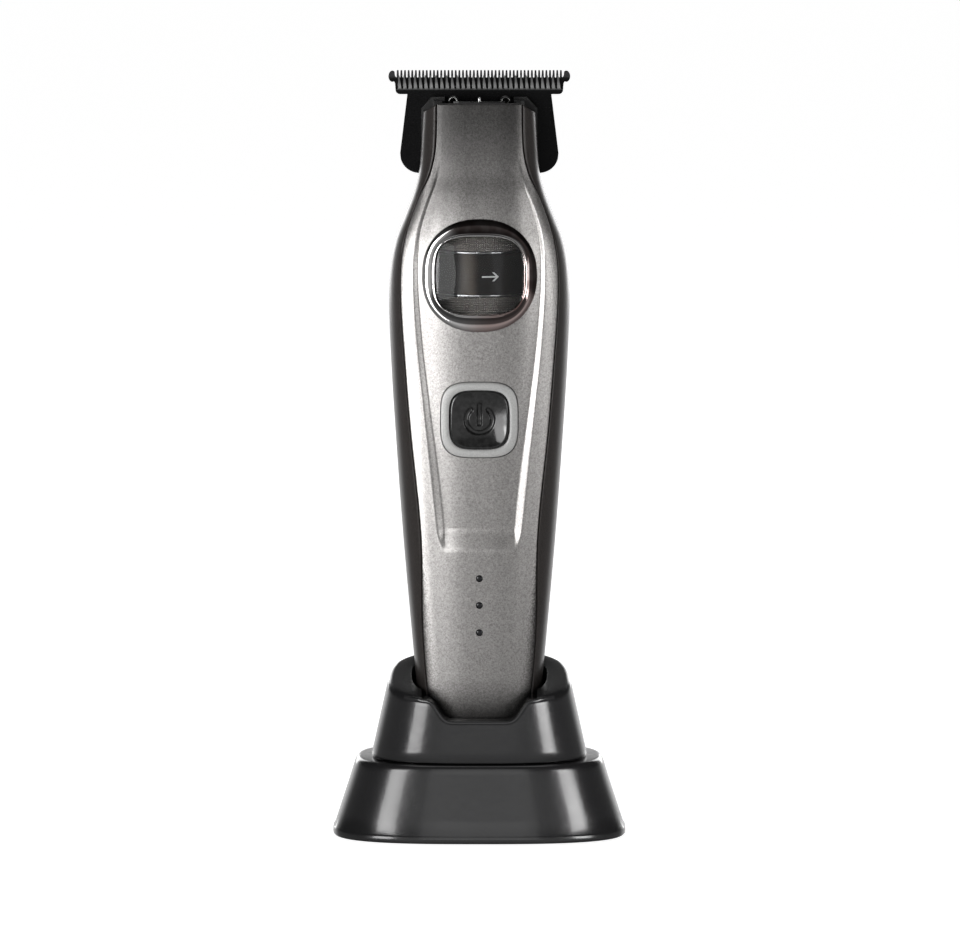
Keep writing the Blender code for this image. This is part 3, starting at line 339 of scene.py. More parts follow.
def dishDrop(z, x):
    rim, floor = curveAt(dishForm["stations"], 1, z), curveAt(dishForm["stations"], 2, z)
    across = min(max((rim - abs(x)) / (rim - floor), 0.0), 1.0)
    along = (z - dishForm["bottom"]) / (dishForm["floorBottom"] - dishForm["bottom"])
    along = min(max(along, 0.0), 1.0)
    share = softRamp(1 - math.hypot(1 - across, 1 - along), 0.22)
    return dishForm["depth"] * share * (1 - softStep(dishForm["fadeStart"], dishForm["fadeEnd"], z))


def faceY(z, x):
    return skinY(z, x) + dishDrop(z, x)


def dishFloorY(z, x):  # the dish floor carried on past its walls
    fade = 1 - softStep(dishForm["fadeStart"], dishForm["fadeEnd"], z)
    low = softStep(dishForm["bottom"], dishForm["floorBottom"], z)
    return skinY(z, x) + dishForm["depth"] * fade * low


def chamferDrop(x):
    return max(0.0, abs(x) - clipperForm["chamferStart"]) * clipperForm["chamferSlope"]


def neckHeight(z, x):  # rows close up towards the chamfered top corners
    top = clipperForm["neckTop"]
    return z - chamferDrop(x) * min(max((z - top + 12.0) / 12.0, 0.0), 1.0)


def pushIn(line, distances):  # moves an (x, y) line to its left, square to itself
    moved = []
    for i, ((x, y), distance) in enumerate(zip(line, distances)):
        before, after = line[max(i - 1, 0)], line[min(i + 1, len(line) - 1)]
        dx, dy = after[0] - before[0], after[1] - before[1]
        size = math.hypot(dx, dy) or 1.0
        moved.append((x - dy / size * distance, y + dx / size * distance))
    return moved


def shellPiece(name, lines, wall, radius):  # lines of (x, y, z); the first and last edges are rounded
    outer, inner = [], []
    top = len(lines) - 1
    for row, line in enumerate(lines):
        flat = [(x, y) for x, y, _ in line]
        gone = [0.0]
        for a, b in zip(flat, flat[1:]):
            gone.append(gone[-1] + math.dist(a, b))
        drops = [edgeDrop(min(g, gone[-1] - g), radius) for g in gone]
        ends = [edgeDrop(math.dist(line[i], lines[top][i]), radius) for i in range(len(line))]
        drops = [max(a, b) for a, b in zip(drops, ends)]
        outer.append([(x, y, line[i][2]) for i, (x, y) in enumerate(pushIn(flat, drops))])
        inner.append([(x, y, line[i][2]) for i, (x, y) in enumerate(pushIn(flat, [wall] * len(flat)))])
    count, rows = len(outer[0]), len(lines)
    total = rows * count
    faces = bridge(rows, count, closed=False)
    faces += [tuple(total + i for i in reversed(face)) for face in faces]
    rim = list(range(count)) + [row * count + count - 1 for row in range(1, rows)]
    rim += [top * count + i for i in reversed(range(count - 1))]
    rim += [row * count for row in reversed(range(1, top))]
    faces += [(b, a, total + a, total + b) for a, b in zip(rim, rim[1:] + rim[:1])]
    return meshPiece(name, [point for line in outer + inner for point in line], faces)


def rowHeights(step, extra=()):
    low, high = clipperForm["shellBottom"], clipperForm["neckTop"]
    rows = set(round(z, 3) for z in between(low, high, round((high - low) / step)))
    rows |= set(extra) | {high - 0.07, high - 0.16, high - 0.3, high - 0.5}
    rows = sorted(rows)
    return [z for z, after in zip(rows, rows[1:] + [1e9]) if after - z > 0.05]


# finishes of the clipper's shells
silverSettings = {
    "light": (0.50, 0.485, 0.475), "dark": (0.27, 0.26, 0.252), "sprayed": (0.028, 0.025, 0.024),
    "rough": 0.36, "fadeTop": 66.0, "fadeAtBottom": 9.6, "fadeSlope": 0.0733, "bottom": 22.0,
    # the neck, foot and flank spans and shades set painted shade over the silver
    "neckSpan": (133.0, 162.0), "neckShade": 0.82, "footSpan": (26.5, 38.0), "footShade": 0.86,
    "flankSpan": (126.0, 142.0), "flankEdge": (4.5, 8.6), "flankShade": 0.55}


def makeSilver(settings):
    finish = Finish("satinSilver", {"Metallic": 0.9, "Coat Weight": 0.12, "Coat Roughness": 0.25})
    fleck, grain, cloud = finish.noise(5.2, 2.0), finish.noise(2.1, 3.0), finish.noise(0.07, 3.0)
    tone = finish.within(fleck * 0.6 + grain * 0.4, 0.34, 0.66)
    silver = finish.blend(tone, settings["dark"], settings["light"])
    edge = settings["fadeAtBottom"] + (finish.z - settings["bottom"]) * settings["fadeSlope"]
    softness = 0.35 + finish.maths("MAXIMUM", settings["fadeTop"] - finish.z, 0.0) * 0.05  # wider lower down
    inside = (edge - finish.size(finish.x) + (grain - 0.5) * 1.1 + (fleck - 0.5) * 0.9) / softness
    above = finish.within(finish.z, settings["fadeTop"] - 2, settings["fadeTop"] + 2)
    bare = 1 - (1 - finish.within(inside, -1.0, 1.0)) * (1 - above)
    foot = settings["footShade"]
    shade = 1 - finish.within(finish.z, *settings["neckSpan"]) * settings["neckShade"]  # painted shade: darker at both ends, over the neck and down in the notch
    shade = shade * (1 - foot + finish.within(finish.z, *settings["footSpan"]) * foot)
    # painted shade on the left flank of the neck
    flank = finish.within(0 - finish.x, *settings["flankEdge"])
    flank = flank * finish.within(finish.z, *settings["flankSpan"])
    shade = shade * (1 - flank * settings["flankShade"])
    silver = finish.blend(1.0, silver, shade, "MULTIPLY")
    finish.drive("Base Color", finish.blend(bare, settings["sprayed"], silver))
    finish.drive("Roughness", settings["rough"] + (cloud - 0.5) * 0.08 + (fleck - 0.5) * 0.18)
    return finish.bump(fleck * 0.6 + grain * 0.4, 0.035)


silver = makeSilver(silverSettings)
graphite = mouldedFinish("glossGraphite", {
    "dark": (0.018, 0.015, 0.014), "light": (0.040, 0.035, 0.033), "rough": 0.30, "roughSpread": 0.1,
    "grain": 4.5, "depth": 0.012, "metal": 0.1,
    "constants": {"Coat Roughness": 0.2, "Specular IOR Level": 0.38}})
graphite.drive("Coat Weight", 0.13 - graphite.within(graphite.z, 126.0, 146.0) * 0.11)  # duller on the arms
insertBlack = mouldedFinish("insertPlastic", {
    "dark": (0.006, 0.006, 0.006), "light": (0.016, 0.016, 0.016), "rough": 0.36, "roughSpread": 0.15,
    "grain": 3.0, "depth": 0.02})

# front cover
coverSettings = {"wall": 1.4, "edgeRadius": 0.3, "rowStep": 1.2, "floorSteps": 9, "wallSteps": 8,
                 "flankSteps": 7, "toolFront": -20, "toolBack": -6, "lightHole": 0.78}


def coverColumns(z):
    rim, floor = curveAt(dishForm["stations"], 1, z), curveAt(dishForm["stations"], 2, z)
    edge, radius = seamX(z) - clipperForm["seamHalfGap"], coverSettings["edgeRadius"]
    columns = between(0.0, floor, coverSettings["floorSteps"])[1:]
    columns += between(floor, rim, coverSettings["wallSteps"])[1:]
    columns += between(rim, edge - radius * 1.1, coverSettings["flankSteps"])[1:]
    columns += [edge - radius * 0.55, edge - radius * 0.22, edge]
    return [-x for x in reversed(columns)] + [0.0] + columns


def makeCover():
    lines = []
    for z in rowHeights(coverSettings["rowStep"], between(63.6, 71.0, 14)):
        line = []
        for column, x in enumerate(coverColumns(z)):
            height = neckHeight(z, x)
            x = coverColumns(height)[column]
            line.append((x, faceY(height, x), height))
        lines.append(line)
    cover = shellPiece("frontCoverShell", lines, coverSettings["wall"], coverSettings["edgeRadius"])
    window = [(x * 0.93, windowSettings["z"] + z * 0.93)
              for x, z in squircle(*windowSettings["half"], 96, windowSettings["exponent"])]
    button = [(x * 1.02, buttonSettings["z"] + z * 1.02)
              for x, z in squircle(*buttonSettings["ringHalf"], 72, buttonSettings["exponent"])]
    front, back, hole = [coverSettings[word] for word in ("toolFront", "toolBack", "lightHole")]
    tools = [extruded("windowTool", window, front, back), extruded("buttonTool", button, front, back)]
    tools += [turned("lightTool", [(hole, front), (hole, back)], "Y", (0.0, z), 24)
              for z in lightSettings["heights"]]
    carve(cover, *tools)
    return fit(cover, silver, "clipper", ["front_cover"])


windowSettings = {"z": 125.6, "half": (12.7, 12.4), "exponent": 2.2, "opening": (9.75, 8.5),
                  "openingExponent": 3.3, "count": 144, "paneGap": 0.04}
buttonSettings = {"z": 93.9, "ringHalf": (8.45, 8.3), "half": (6.45, 6.5), "exponent": 3.6}
lightSettings = {"heights": (58.8, 52.8, 46.7), "radius": 0.62}
makeCover()
print("front cover made")

# rear housing
housingSettings = {"wall": 1.6, "edgeRadius": 0.3, "rowStep": 1.5, "backSteps": 26,
                   "screwX": 6.0, "screwZ": 30.5, "seatY": 9.0}


def housingLine(z):
    width, widest = bodyAt(1, z), clipperForm["widestY"]
    exponent, power = bodyAt(5, z), 2 / clipperForm["backExponent"]
    start = math.acos(((seamX(z) + clipperForm["seamHalfGap"]) / width) ** (exponent / 2))
    right = []
    for share in (1.0, 0.988, 0.974, 0.955, 0.92) + tuple(between(0.86, 0.07, 11)):
        angle = start * share
        right.append((width * math.cos(angle) ** (2 / exponent),
                      widest - (bodyAt(2, z) + widest) * math.sin(angle) ** (2 / exponent)))
    for angle in [math.pi / 2 * share for share in between(0.0, 1.0, housingSettings["backSteps"])][:-1]:
        right.append((width * math.cos(angle) ** power,
                      widest + (bodyAt(3, z) - widest) * math.sin(angle) ** power))
    return right + [(0.0, bodyAt(3, z))] + [(-x, y) for x, y in reversed(right)]


def makeHousing():
    settings, lines = housingSettings, []
    for z in rowHeights(settings["rowStep"]):
        heights = [neckHeight(z, x) for x, _ in housingLine(z)]
        lines.append([(*housingLine(height)[i], height) for i, height in enumerate(heights)])
    housing = shellPiece("rearHousingShell", lines, settings["wall"], settings["edgeRadius"])
    places = [(side * settings["screwX"], settings["screwZ"]) for side in (-1, 1)]
    bosses = [turned("bossTool", [(3.4, 0.9), (3.4, 11.2)], "Y", place, 40) for place in places]
    carve(housing, *bosses, join=True)
    carve(housing, block("backTool", (-30, 0.0, clipperForm["shoulder"]), (30, 30, 175)),
          *[turned("boreTool", [(1.4, 0.0), (1.4, 20.0)], "Y", place, 32) for place in places],
          *[turned("sinkTool", [(2.8, settings["seatY"]), (2.8, 11.0), (3.3, 14.0)], "Y", place, 40)
            for place in places])
    return fit(housing, graphite, "clipper", ["rear_housing"])


makeHousing()
print("rear housing made")

# window: bezel, lens and what shows behind it
# the smoke and rose tones are painted reflections on the polished ring
bezelTones = {"bright": (0.90, 0.89, 0.885), "roseReflection": (0.60, 0.47, 0.45), "smoke": (0.055, 0.042, 0.040),
              "grain": (0.4, 0.39, 0.39), "grainShare": 0.12, "darkReflectionTurn": 52.0, "lip": 1.07}


def makeBezelFinish(settings):  # polished ring with a painted dark reflection over its upper right and a painted rose reflection lower right; the inner lip is kept out of the dark reflection so it stays bright
    finish = Finish("polishedBezel", {"Metallic": 1.0})
    grain, smear = finish.noise(0.5, 3.0), finish.noise(smearScale, 4.0)
    rise = finish.z - windowSettings["z"]
    across, up = finish.x / windowSettings["half"][0], rise / windowSettings["half"][1]
    turn = math.radians(settings["darkReflectionTurn"])
    # painted dark reflection over the upper right, painted rose reflection lower right
    darkReflection = finish.within(across * math.cos(turn) + up * math.sin(turn) + (smear - 0.5) * 0.3, 0.1, 0.38)
    roseReflectionShare = finish.within(across * 0.8 - up * 0.6, 0.15, 0.7)
    power, (openX, openZ) = windowSettings["openingExponent"], windowSettings["opening"]
    reach = (finish.size(finish.x) / openX) ** power + (finish.size(rise) / openZ) ** power
    lip = 1 - finish.within(reach, settings["lip"] ** power - 0.1, settings["lip"] ** power + 0.1)
    tone = finish.blend(roseReflectionShare, settings["bright"], settings["roseReflection"])
    tone = finish.blend(darkReflection * (1 - lip), tone, settings["smoke"])
    speck = finish.within(grain, 0.3, 0.7) * settings["grainShare"]
    finish.drive("Base Color", finish.blend(speck, tone, settings["grain"]))
    finish.drive("Roughness", 0.08 + (smear - 0.5) * 0.05 + darkReflection * 0.05)
    return finish.bump(grain, 0.01)


chrome = makeBezelFinish(bezelTones)
glass = Finish("clearLens", {"Base Color": (0.93, 0.95, 0.97), "Transmission Weight": 1.0, "IOR": 1.32})
glass.drive("Roughness", 0.015 + glass.within(glass.noise(0.25, 4.0), 0.45, 0.8) * 0.02)


def onFloor(outline, lift, middle):
    return [(x, dishFloorY(middle + z, x) - lift, middle + z) for x, z in outline]


def makeWindow():
    settings = windowSettings
    outer = squircle(*settings["half"], settings["count"], settings["exponent"])
    inner = squircle(*settings["opening"], settings["count"], settings["openingExponent"])

    def part(share):
        return [(a[0] + (b[0] - a[0]) * share, a[1] + (b[1] - a[1]) * share) for a, b in zip(outer, inner)]

    profile = [(0.30, -1.75), (0.30, -0.3), (0.03, -0.3), (0.0, 0.0)]
    for share in between(0.03, 0.80, 12):  # broad rounded ring
        profile.append((share, 0.28 + 0.62 * math.sin(math.pi * (0.12 + 0.88 * share / 0.80)) ** 0.8))
    profile += [(0.84, 0.24), (0.88, 0.33), (0.92, 0.38), (0.96, 0.33), (0.99, 0.2), (1.0, 0.0), (1.0, -1.75)]
    bezel = loft("windowBezelRing", [onFloor(part(s), lift, settings["z"]) for s, lift in profile], False, 50)
    fit(bezel, chrome, "clipper", ["window_bezel"])
    paneHalf = [half - settings["paneGap"] for half in settings["opening"]]
    pane = squircle(*paneHalf, 96, settings["openingExponent"])
    profile = [(share, -0.35 + 0.3 * (1 - share ** 2)) for share in (0.1, 0.35, 0.6, 0.8, 0.93, 1.0)]
    profile += [(share, -1.1) for share in (1.0, 0.55, 0.1)]
    rings = [onFloor(scaled(pane, share), lift, settings["z"]) for share, lift in profile]
    lens = loft("windowLensPane", rings, sharpAngle=40)
    lens.visible_shadow = False
    fit(lens, glass, "clipper", ["window_lens"])


makeWindow()

ringSettings = {"spans": {"upper": (130.4, 134.2), "lower": (115.6, 120.8)}, "outer": 10.6, "inner": 9.9,
                "ribs": 132, "pitch": 0.5, "depth": 0.24}
knurlTones = {"dark": (0.26, 0.24, 0.22), "light": (0.50, 0.465, 0.43), "end": (0.012, 0.011, 0.010),
              "bandZ": 125.6, "bandEdge": (4.86, 5.15)}


def makeKnurlFinish(settings):  # gunmetal, darker at the edges next to the band
    finish = Finish("gunmetalKnurl", {"Metallic": 1.0})
    grain, smear = finish.noise(6.0, 3.0), finish.noise(smearScale, 4.0)
    clear = finish.within(finish.size(finish.z - settings["bandZ"]), *settings["bandEdge"])
    tone = finish.blend(finish.within(grain, 0.3, 0.7), settings["dark"], settings["light"])
    finish.drive("Base Color", finish.blend(clear, settings["end"], tone))
    finish.drive("Roughness", 0.36 + (smear - 0.5) * 0.12 + (1 - clear) * 0.25)
    return finish.bump(grain, 0.01)


gunmetal = makeKnurlFinish(knurlTones)


def makeKnurledRing(word, span):
    settings = ringSettings
    count, rows = settings["ribs"] * 2, round((span[1] - span[0]) / settings["pitch"]) * 2
    rings = [circle(settings["inner"], count, (0, 0, z), "Z") for z in (span[1], span[0])]
    for row, z in enumerate(between(*span, rows)):
        ring = []
        for i, angle in enumerate(turnsOf(count)):
            radius = settings["outer"] - (0.0 if row % 2 and i % 2 else settings["depth"])
            ring.append((radius * math.cos(angle), radius * math.sin(angle), z))
        rings.append(ring)
    ring = loft(f"motorRing{word.title()}", rings, False, 20)
    fit(ring, gunmetal, "clipper", [f"motor_ring_{word}"])


for word, span in ringSettings["spans"].items():
    makeKnurledRing(word, span)

bandSettings = {"span": (121.1, 130.1), "outer": 10.4, "inner": 9.9, "arrowZ": 125.1, "arrowFrom": 0.55,
                "arrowTo": 4.1, "stroke": 0.17, "head": 1.0, "sheenX": 2.4, "sheen": (0.050, 0.037, 0.026),
                "arrow": (0.42, 0.42, 0.41)}


def makeBandFinish(settings):
    finish = Finish("motorBand", {"Specular IOR Level": 0.12})
    up = finish.size(finish.z - settings["arrowZ"])
    shaft = 1 - finish.within(up, settings["stroke"] - 0.03, settings["stroke"] + 0.03)
    shaft = shaft * finish.within(finish.x, settings["arrowFrom"], settings["arrowFrom"] + 0.06)
    shaft = shaft * (1 - finish.within(finish.x, settings["arrowTo"] - 0.1, settings["arrowTo"]))
    tip = finish.size(finish.x + up - settings["arrowTo"] + 0.1)
    reach = 1 - finish.within(up, settings["head"] - 0.04, settings["head"])
    head = (1 - finish.within(tip, 0.2, 0.27)) * reach
    front = 1 - finish.within(finish.y, -1.0, 0.0)
    arrow = finish.maths("MAXIMUM", shaft, head) * front
    grain = finish.noise(1.4, 3.0, (0.1, 0.1, 3.0))
    black = finish.blend(grain, (0.003, 0.0027, 0.0025), (0.010, 0.008, 0.0065))
    # painted sheen: a brown streak of reflection across the black band
    sheen = 1 - finish.within(finish.size(finish.x + settings["sheenX"]), 0.4, 2.6)
    black = finish.blend(sheen * (0.5 + grain * 0.5), black, settings["sheen"])
    finish.drive("Base Color", finish.blend(arrow, black, settings["arrow"]))
    finish.drive("Roughness", 0.3 + (grain - 0.5) * 0.1 + arrow * 0.15)
    return finish.bump(grain * 0.2 + arrow, 0.006)


low, high = bandSettings["span"]
bandProfile = [(bandSettings[word], z) for word, z in (("inner", low), ("outer", low), ("outer", high),
                                                       ("inner", high))]
band = turned("motorBandSleeve", bandProfile, count=120, capped=False)
fit(roundEdges(band, 0.03, 1), makeBandFinish(bandSettings), "clipper", ["motor_label_band"])
print("window made")

# power button, its ring and the charge lights
satinRing = mouldedFinish("satinRing", {
    "dark": (0.30, 0.30, 0.297), "light": (0.38, 0.38, 0.372), "rough": 0.45, "roughSpread": 0.1,
    "grain": 4.0, "depth": 0.01, "metal": 0.2})
gloss = mouldedFinish("buttonGloss", {
    "dark": (0.006, 0.006, 0.006), "light": (0.018, 0.018, 0.018), "rough": 0.13, "roughSpread": 0.08,
    "grain": 0.9, "depth": 0.01, "constants": {"Coat Weight": 0.5, "Coat Roughness": 0.06}})
smoke = mouldedFinish("lightSmoke", {
    "dark": (0.004, 0.004, 0.005), "light": (0.012, 0.012, 0.014), "rough": 0.22, "roughSpread": 0.1,
    "grain": 3.0, "depth": 0.01})
symbolSettings = {"radius": 2.9, "half": 0.45, "gap": 41.0, "barTop": 3.9, "barFoot": -1.0, "depth": 0.5,
                  "soft": 0.2, "rings": 66, "count": 176}


def symbolDrop(x, z):  # depth of the power symbol's groove
    settings = symbolSettings
    turn = abs(math.degrees(math.atan2(x, z)))
    radius = math.hypot(x, z)
    if turn >= settings["gap"]:
        arcAway = abs(radius - settings["radius"])
    else:
        gap = math.radians(settings["gap"])
        end = (settings["radius"] * math.sin(gap), settings["radius"] * math.cos(gap))
        arcAway = math.hypot(abs(x) - end[0], z - end[1])
    barZ = min(max(z, settings["barFoot"]), settings["barTop"] - 0.6)
    barAway = math.hypot(x, (z - barZ) * 1.3)
    away = min(arcAway, barAway) - settings["half"]
    return settings["depth"] * (1 - softStep(-settings["soft"], settings["soft"], away))


def makeButton():
    settings = buttonSettings
    profile = [(1.0, -2.4), (1.0, 0.0), (0.985, 0.2), (0.955, 0.34), (0.91, 0.40), (0.86, 0.40),
               (0.815, 0.33), (0.79, 0.15), (0.785, -2.4)]
    outline = squircle(*settings["ringHalf"], 120, settings["exponent"])
    rings = [onFloor(scaled(outline, share), lift, settings["z"]) for share, lift in profile]
    fit(loft("buttonSurround", rings, False, 50), satinRing, "clipper", ["button_ring"])
    face = dishFloorY(settings["z"], 0.0)
    rings = [(1.0, -1.35), (1.0, -0.25), (0.995, -0.05), (0.975, 0.1), (0.95, 0.18)]
    rings += [(share, 0.2 - 0.75 * (1 - (share / 0.93) ** 2.6))
              for share in between(0.93, 0.015, symbolSettings["rings"])]
    points = []
    for share, lift in rings:
        ring = []
        halfX, halfZ = [half * share for half in settings["half"]]
        for x, z in squircle(halfX, halfZ, symbolSettings["count"], 2 + 1.6 * share):
            drop = symbolDrop(x, z) if share < 0.93 else 0.0
            ring.append((x, face - lift + drop, settings["z"] + z))
        points.append(ring)
    fit(loft("powerButtonCap", points, True, 60), gloss, "power_button", ["power_button"])
    for number, height in enumerate(lightSettings["heights"], 1):
        front, radius = skinY(height, 0.0), lightSettings["radius"]
        profile = [(radius, front + 4.0), (radius, front + 0.2)]
        profile += [(radius * math.cos(a), front + 0.2 - 0.14 * math.sin(a)) for a in between(0.1, 1.35, 6)]
        light = turned(f"chargeLight{number}", profile, "Y", (0.0, height), 36)
        fit(light, smoke, "clipper", [f"charge_led_{number}"])


makeButton()
print("button and lights made")

# blades
bladeSettings = {
    "barBottom": 164.2, "barHalf": 18.5,
    "fixed": {"teeth": 46, "pitch": 0.8, "tip": 169.5, "root": 167.9, "tipShare": 0.46, "rootShare": 0.74,
              "lean": 0.0, "plate": (5.8, 7.4)},
    "moving": {"teeth": 31, "pitch": 1.17, "tip": 168.4, "root": 165.5, "tipShare": 0.24, "rootShare": 0.74,
               "lean": -0.22, "plate": (4.0, 5.5)},
    "screwX": 8.5, "screwZ": 151.6, "seat": 6.6,
}


def makeBladeFinish(name, settings, groundColour):  # blackened steel, ground brighter on the teeth
    finish = Finish(name, {"Metallic": 0.75, "Specular IOR Level": 0.22})
    scratch, cloud = finish.noise(1.6, 4.0, (1.0, 1.0, 9.0)), finish.noise(0.35, 4.0)
    root, tip = settings["root"], settings["tip"]
    ground = finish.within(finish.z, root - 0.4, root + 0.4) * (1 - finish.within(finish.z, tip, tip + 1.5))
    black = finish.blend(scratch, (0.004, 0.004, 0.0042), (0.013, 0.013, 0.0135))
    finish.drive("Base Color", finish.blend(ground, black, groundColour))
    finish.drive("Roughness", 0.26 + (cloud - 0.5) * 0.16 + (scratch - 0.5) * 0.1 + ground * 0.1)
    return finish.bump(scratch, 0.012)


def toothComb(settings):  # (x, z) outline of the teeth from right to left, with round roots and tips
    points = []
    pitch, tip, root = settings["pitch"], settings["tip"], settings["root"]
    tipHalf, rootHalf = pitch * settings["tipShare"] / 2, pitch * settings["rootShare"] / 2
    for number in range(settings["teeth"]):
        centre = (settings["teeth"] - 1) / 2 * pitch - number * pitch
        right = [(rootHalf + 0.02, root - 0.05), (rootHalf - 0.06, root + 0.14)]
        for share in (0.35, 0.65, 0.88):  # sides bow in slightly
            half = rootHalf + (tipHalf - rootHalf) * share ** 0.85
            right.append((half, root + (tip - root) * share))
        right += [(tipHalf * 0.95, tip - 0.07), (tipHalf * 0.55, tip)]
        for side, row in ((1, right), (-1, right[::-1])):
            points += [(centre + side * x + settings["lean"] * (z - root) / (tip - root), z) for x, z in row]
    return points


def mirrored(points):
    return points + [(-x, z) for x, z in reversed(points)]


def makeFixedBlade():
    settings = bladeSettings
    half, low = settings["barHalf"], settings["barBottom"]
    ear = [(19.2 + x, 168.15 + z * 1.45) for x, z in arc((0.0, 0.0), 0.85, 125, -115, 20)]
    right = [(18.62, 168.3)] + ear + [(18.6, 166.6), (half, 165.3)]
    right += arc((half - 1.0, low + 1.0), 1.0, 0, -90, 8) + [(15.9, low)]
    right += [(17.5, 151.2)] + arc((13.3, 151.0), 4.2, -15, -90, 14)[:-1] + [(12.6, 146.6)]
    outline = toothComb(settings["fixed"])[::-1] + mirrored(right)
    blade = extruded("fixedBladePlate", outline, *settings["fixed"]["plate"])
    corners = [(-25, 163.0), (25, 163.0), (25, 170.4), (-25, 170.4)]
    slope = [(x, 8.6 - (z - 163.0) * 2.4 / 7.4, z) for x, z in corners]
    tools = [loft("bevelTool", [slope, [(x, 12.0, z) for x, z in corners]])]
    for side in (-1, 1):
        centre = (side * settings["screwX"], settings["screwZ"])
        tools.append(turned("holeTool", [(1.7, 3.0), (1.7, 12.0)], "Y", centre, 40))
        tools.append(turned("sinkTool", [(3.0, settings["seat"]), (3.0, 12.0)], "Y", centre, 48))
    return carve(blade, *tools)


def makeMovingBlade():
    low = bladeSettings["barBottom"]
    right = [(18.35, low + 1.0), (18.1, low + 0.45), (17.7, low + 0.2), (15.6, low + 0.2), (15.8, 157.4),
             (13.6, 157.4), (13.6, 155.9), (12.9, 155.1)]
    outline = toothComb(bladeSettings["moving"])[::-1] + mirrored(right)
    blade = extruded("movingBladePlate", outline, *bladeSettings["moving"]["plate"])
    slope = [(-25, 3.2, 164.6), (25, 3.2, 164.6), (25, 5.2, 169.8), (-25, 5.2, 169.8)]
    return carve(blade, loft("bevelTool", [[(x, 0.0, z) for x, _, z in slope], slope]))


fixedFinish = makeBladeFinish("fixedBladeSteel", bladeSettings["fixed"], (0.045, 0.045, 0.047))
movingFinish = makeBladeFinish("movingBladeSteel", bladeSettings["moving"], (0.30, 0.30, 0.30))
fit(roundEdges(makeFixedBlade(), 0.05, 2), fixedFinish, "clipper", ["fixed_blade"])
fit(roundEdges(makeMovingBlade(), 0.05, 2), movingFinish, "cutter", ["moving_blade"])
print("blades made")

# spring, post and screws
wireSteel = mouldedFinish("brightWire", {
    "dark": (0.42, 0.42, 0.42), "light": (0.66, 0.66, 0.655), "rough": 0.22, "roughSpread": 0.1,
    "grain": 2.2, "depth": 0.01, "metal": 1.0, "stretch": (1.0, 1.0, 4.0)})
springSteel = mouldedFinish("darkWire", {
    "dark": (0.07, 0.07, 0.07), "light": (0.20, 0.20, 0.195), "rough": 0.24, "roughSpread": 0.1,
    "grain": 2.2, "depth": 0.01, "metal": 1.0, "stretch": (1.0, 1.0, 4.0)})
springSettings = {"coilX": 5.7, "coilZ": 163.3, "coilRadius": 0.85, "pitch": 0.8, "turns": 2, "wire": 0.3}


def makeTensionSpring():
    s = springSettings
    legX = s["coilX"] + s["coilRadius"]
    half = [(legX, 3.55, 163.6), (legX, 1.3, 163.5), (legX, -1.0, 163.3), (legX, -3.0, s["coilZ"] + 0.05)]
    for i in range(0, s["turns"] * 24 + 13):
        angle = 2 * math.pi * i / 24
        half.append((s["coilX"] + s["coilRadius"] * math.cos(angle), -3.6 - s["pitch"] * i / 24,
                     s["coilZ"] + s["coilRadius"] * math.sin(angle)))
    end = half[-1][1]
    half += [(4.4, end, 162.8), (3.0, end, 162.6), (1.2, end, 162.3)]
    curve = bpy.data.curves.new("tensionSpringWire", "CURVE")
    curve.dimensions, curve.bevel_depth = "3D", s["wire"] * mm
    curve.bevel_resolution, curve.use_fill_caps = 4, True
    points = half + [(-x, y, z) for x, y, z in reversed(half)]
    spline = curve.splines.new("POLY")
    spline.points.add(len(points) - 1)
    for target, point in zip(spline.points, points):
        target.co = (*(c * mm for c in point), 1.0)
    spring = bpy.data.objects.new("tensionSpringWire", curve)
    bpy.context.scene.collection.objects.link(spring)
    return fit(spring, springSteel, "clipper", ["tension_spring"])


makeTensionSpring()
post = turned("springPostPin", [(0.4, 161.9), (0.4, 163.85), (0.34, 164.05), (0.2, 164.16), (0.05, 164.2)],
              centre=(0.0, -4.7), count=32)
fit(post, wireSteel, "clipper", ["spring_post"])


def makeScrew(name, x, z, headY, tipY, headRadius, shank):
    profile = [(shank * 0.3, tipY), (shank, tipY + 0.8)]
    for step in range(int((headY - 1.3 - tipY - 1.2) / 0.3)):  # thread
        profile.append((shank * (1.0 if step % 2 else 0.84), tipY + 1.0 + step * 0.3))
    profile += [(shank, headY - 1.3), (headRadius - 0.12, headY - 1.3), (headRadius, headY - 1.18)]
    profile += [(headRadius * math.cos(a), headY - 0.75 + 0.75 * math.sin(a)) for a in between(0.0, 1.3, 8)]
    screw, reach = turned(name, profile, "Y", (x, z), 48), headRadius * 0.58
    tools = []
    for halfX, halfZ in ((reach, 0.26), (0.26, reach)):
        ends = [[(x + a * halfX * k, y, z + b * halfZ * k) for a, b in ((-1, -1), (1, -1), (1, 1), (-1, 1))]
                for y, k in ((headY - 0.75, 0.7), (headY + 0.6, 1.15))]
        tools.append(loft("slotTool", ends))
    return carve(screw, *tools)


screwSettings = {  # place, head and tip along the screw, head radius, shank radius
    "blade": (bladeSettings["screwX"], bladeSettings["screwZ"], 8.2, -3.4, 2.65, 1.3),
    "housing": (housingSettings["screwX"], housingSettings["screwZ"], 10.6, -5.5, 2.4, 1.05),
}
for side, word in ((-1, "left"), (1, "right")):
    for use, (x, *sizes) in screwSettings.items():
        screw = makeScrew(f"{use}Screw{word.title()}", side * x, *sizes)
        fit(screw, wireSteel, "clipper", [f"{use}_screw_{word}"])
print("spring and screws made")

# dock
dockForm = {"exponent": 2.9, "count": 160, "ledge": 17.8, "cradleFoot": 18.1, "footHalf": (23.9, 16.1),
            "topHalf": (20.0, 15.2), "topZ": 35.7, "slope": math.tan(math.radians(13.5)), "clearance": 0.8,
            "socketBottom": 12.3, "sleeve": 1.6, "screwX": 25.0}
notchForm = {"floorZ": 27.5, "floorHalf": 7.4, "mouthHalf": 11.1, "corner": 1.6, "lip": 0.85,
             "lipReach": 16.5}


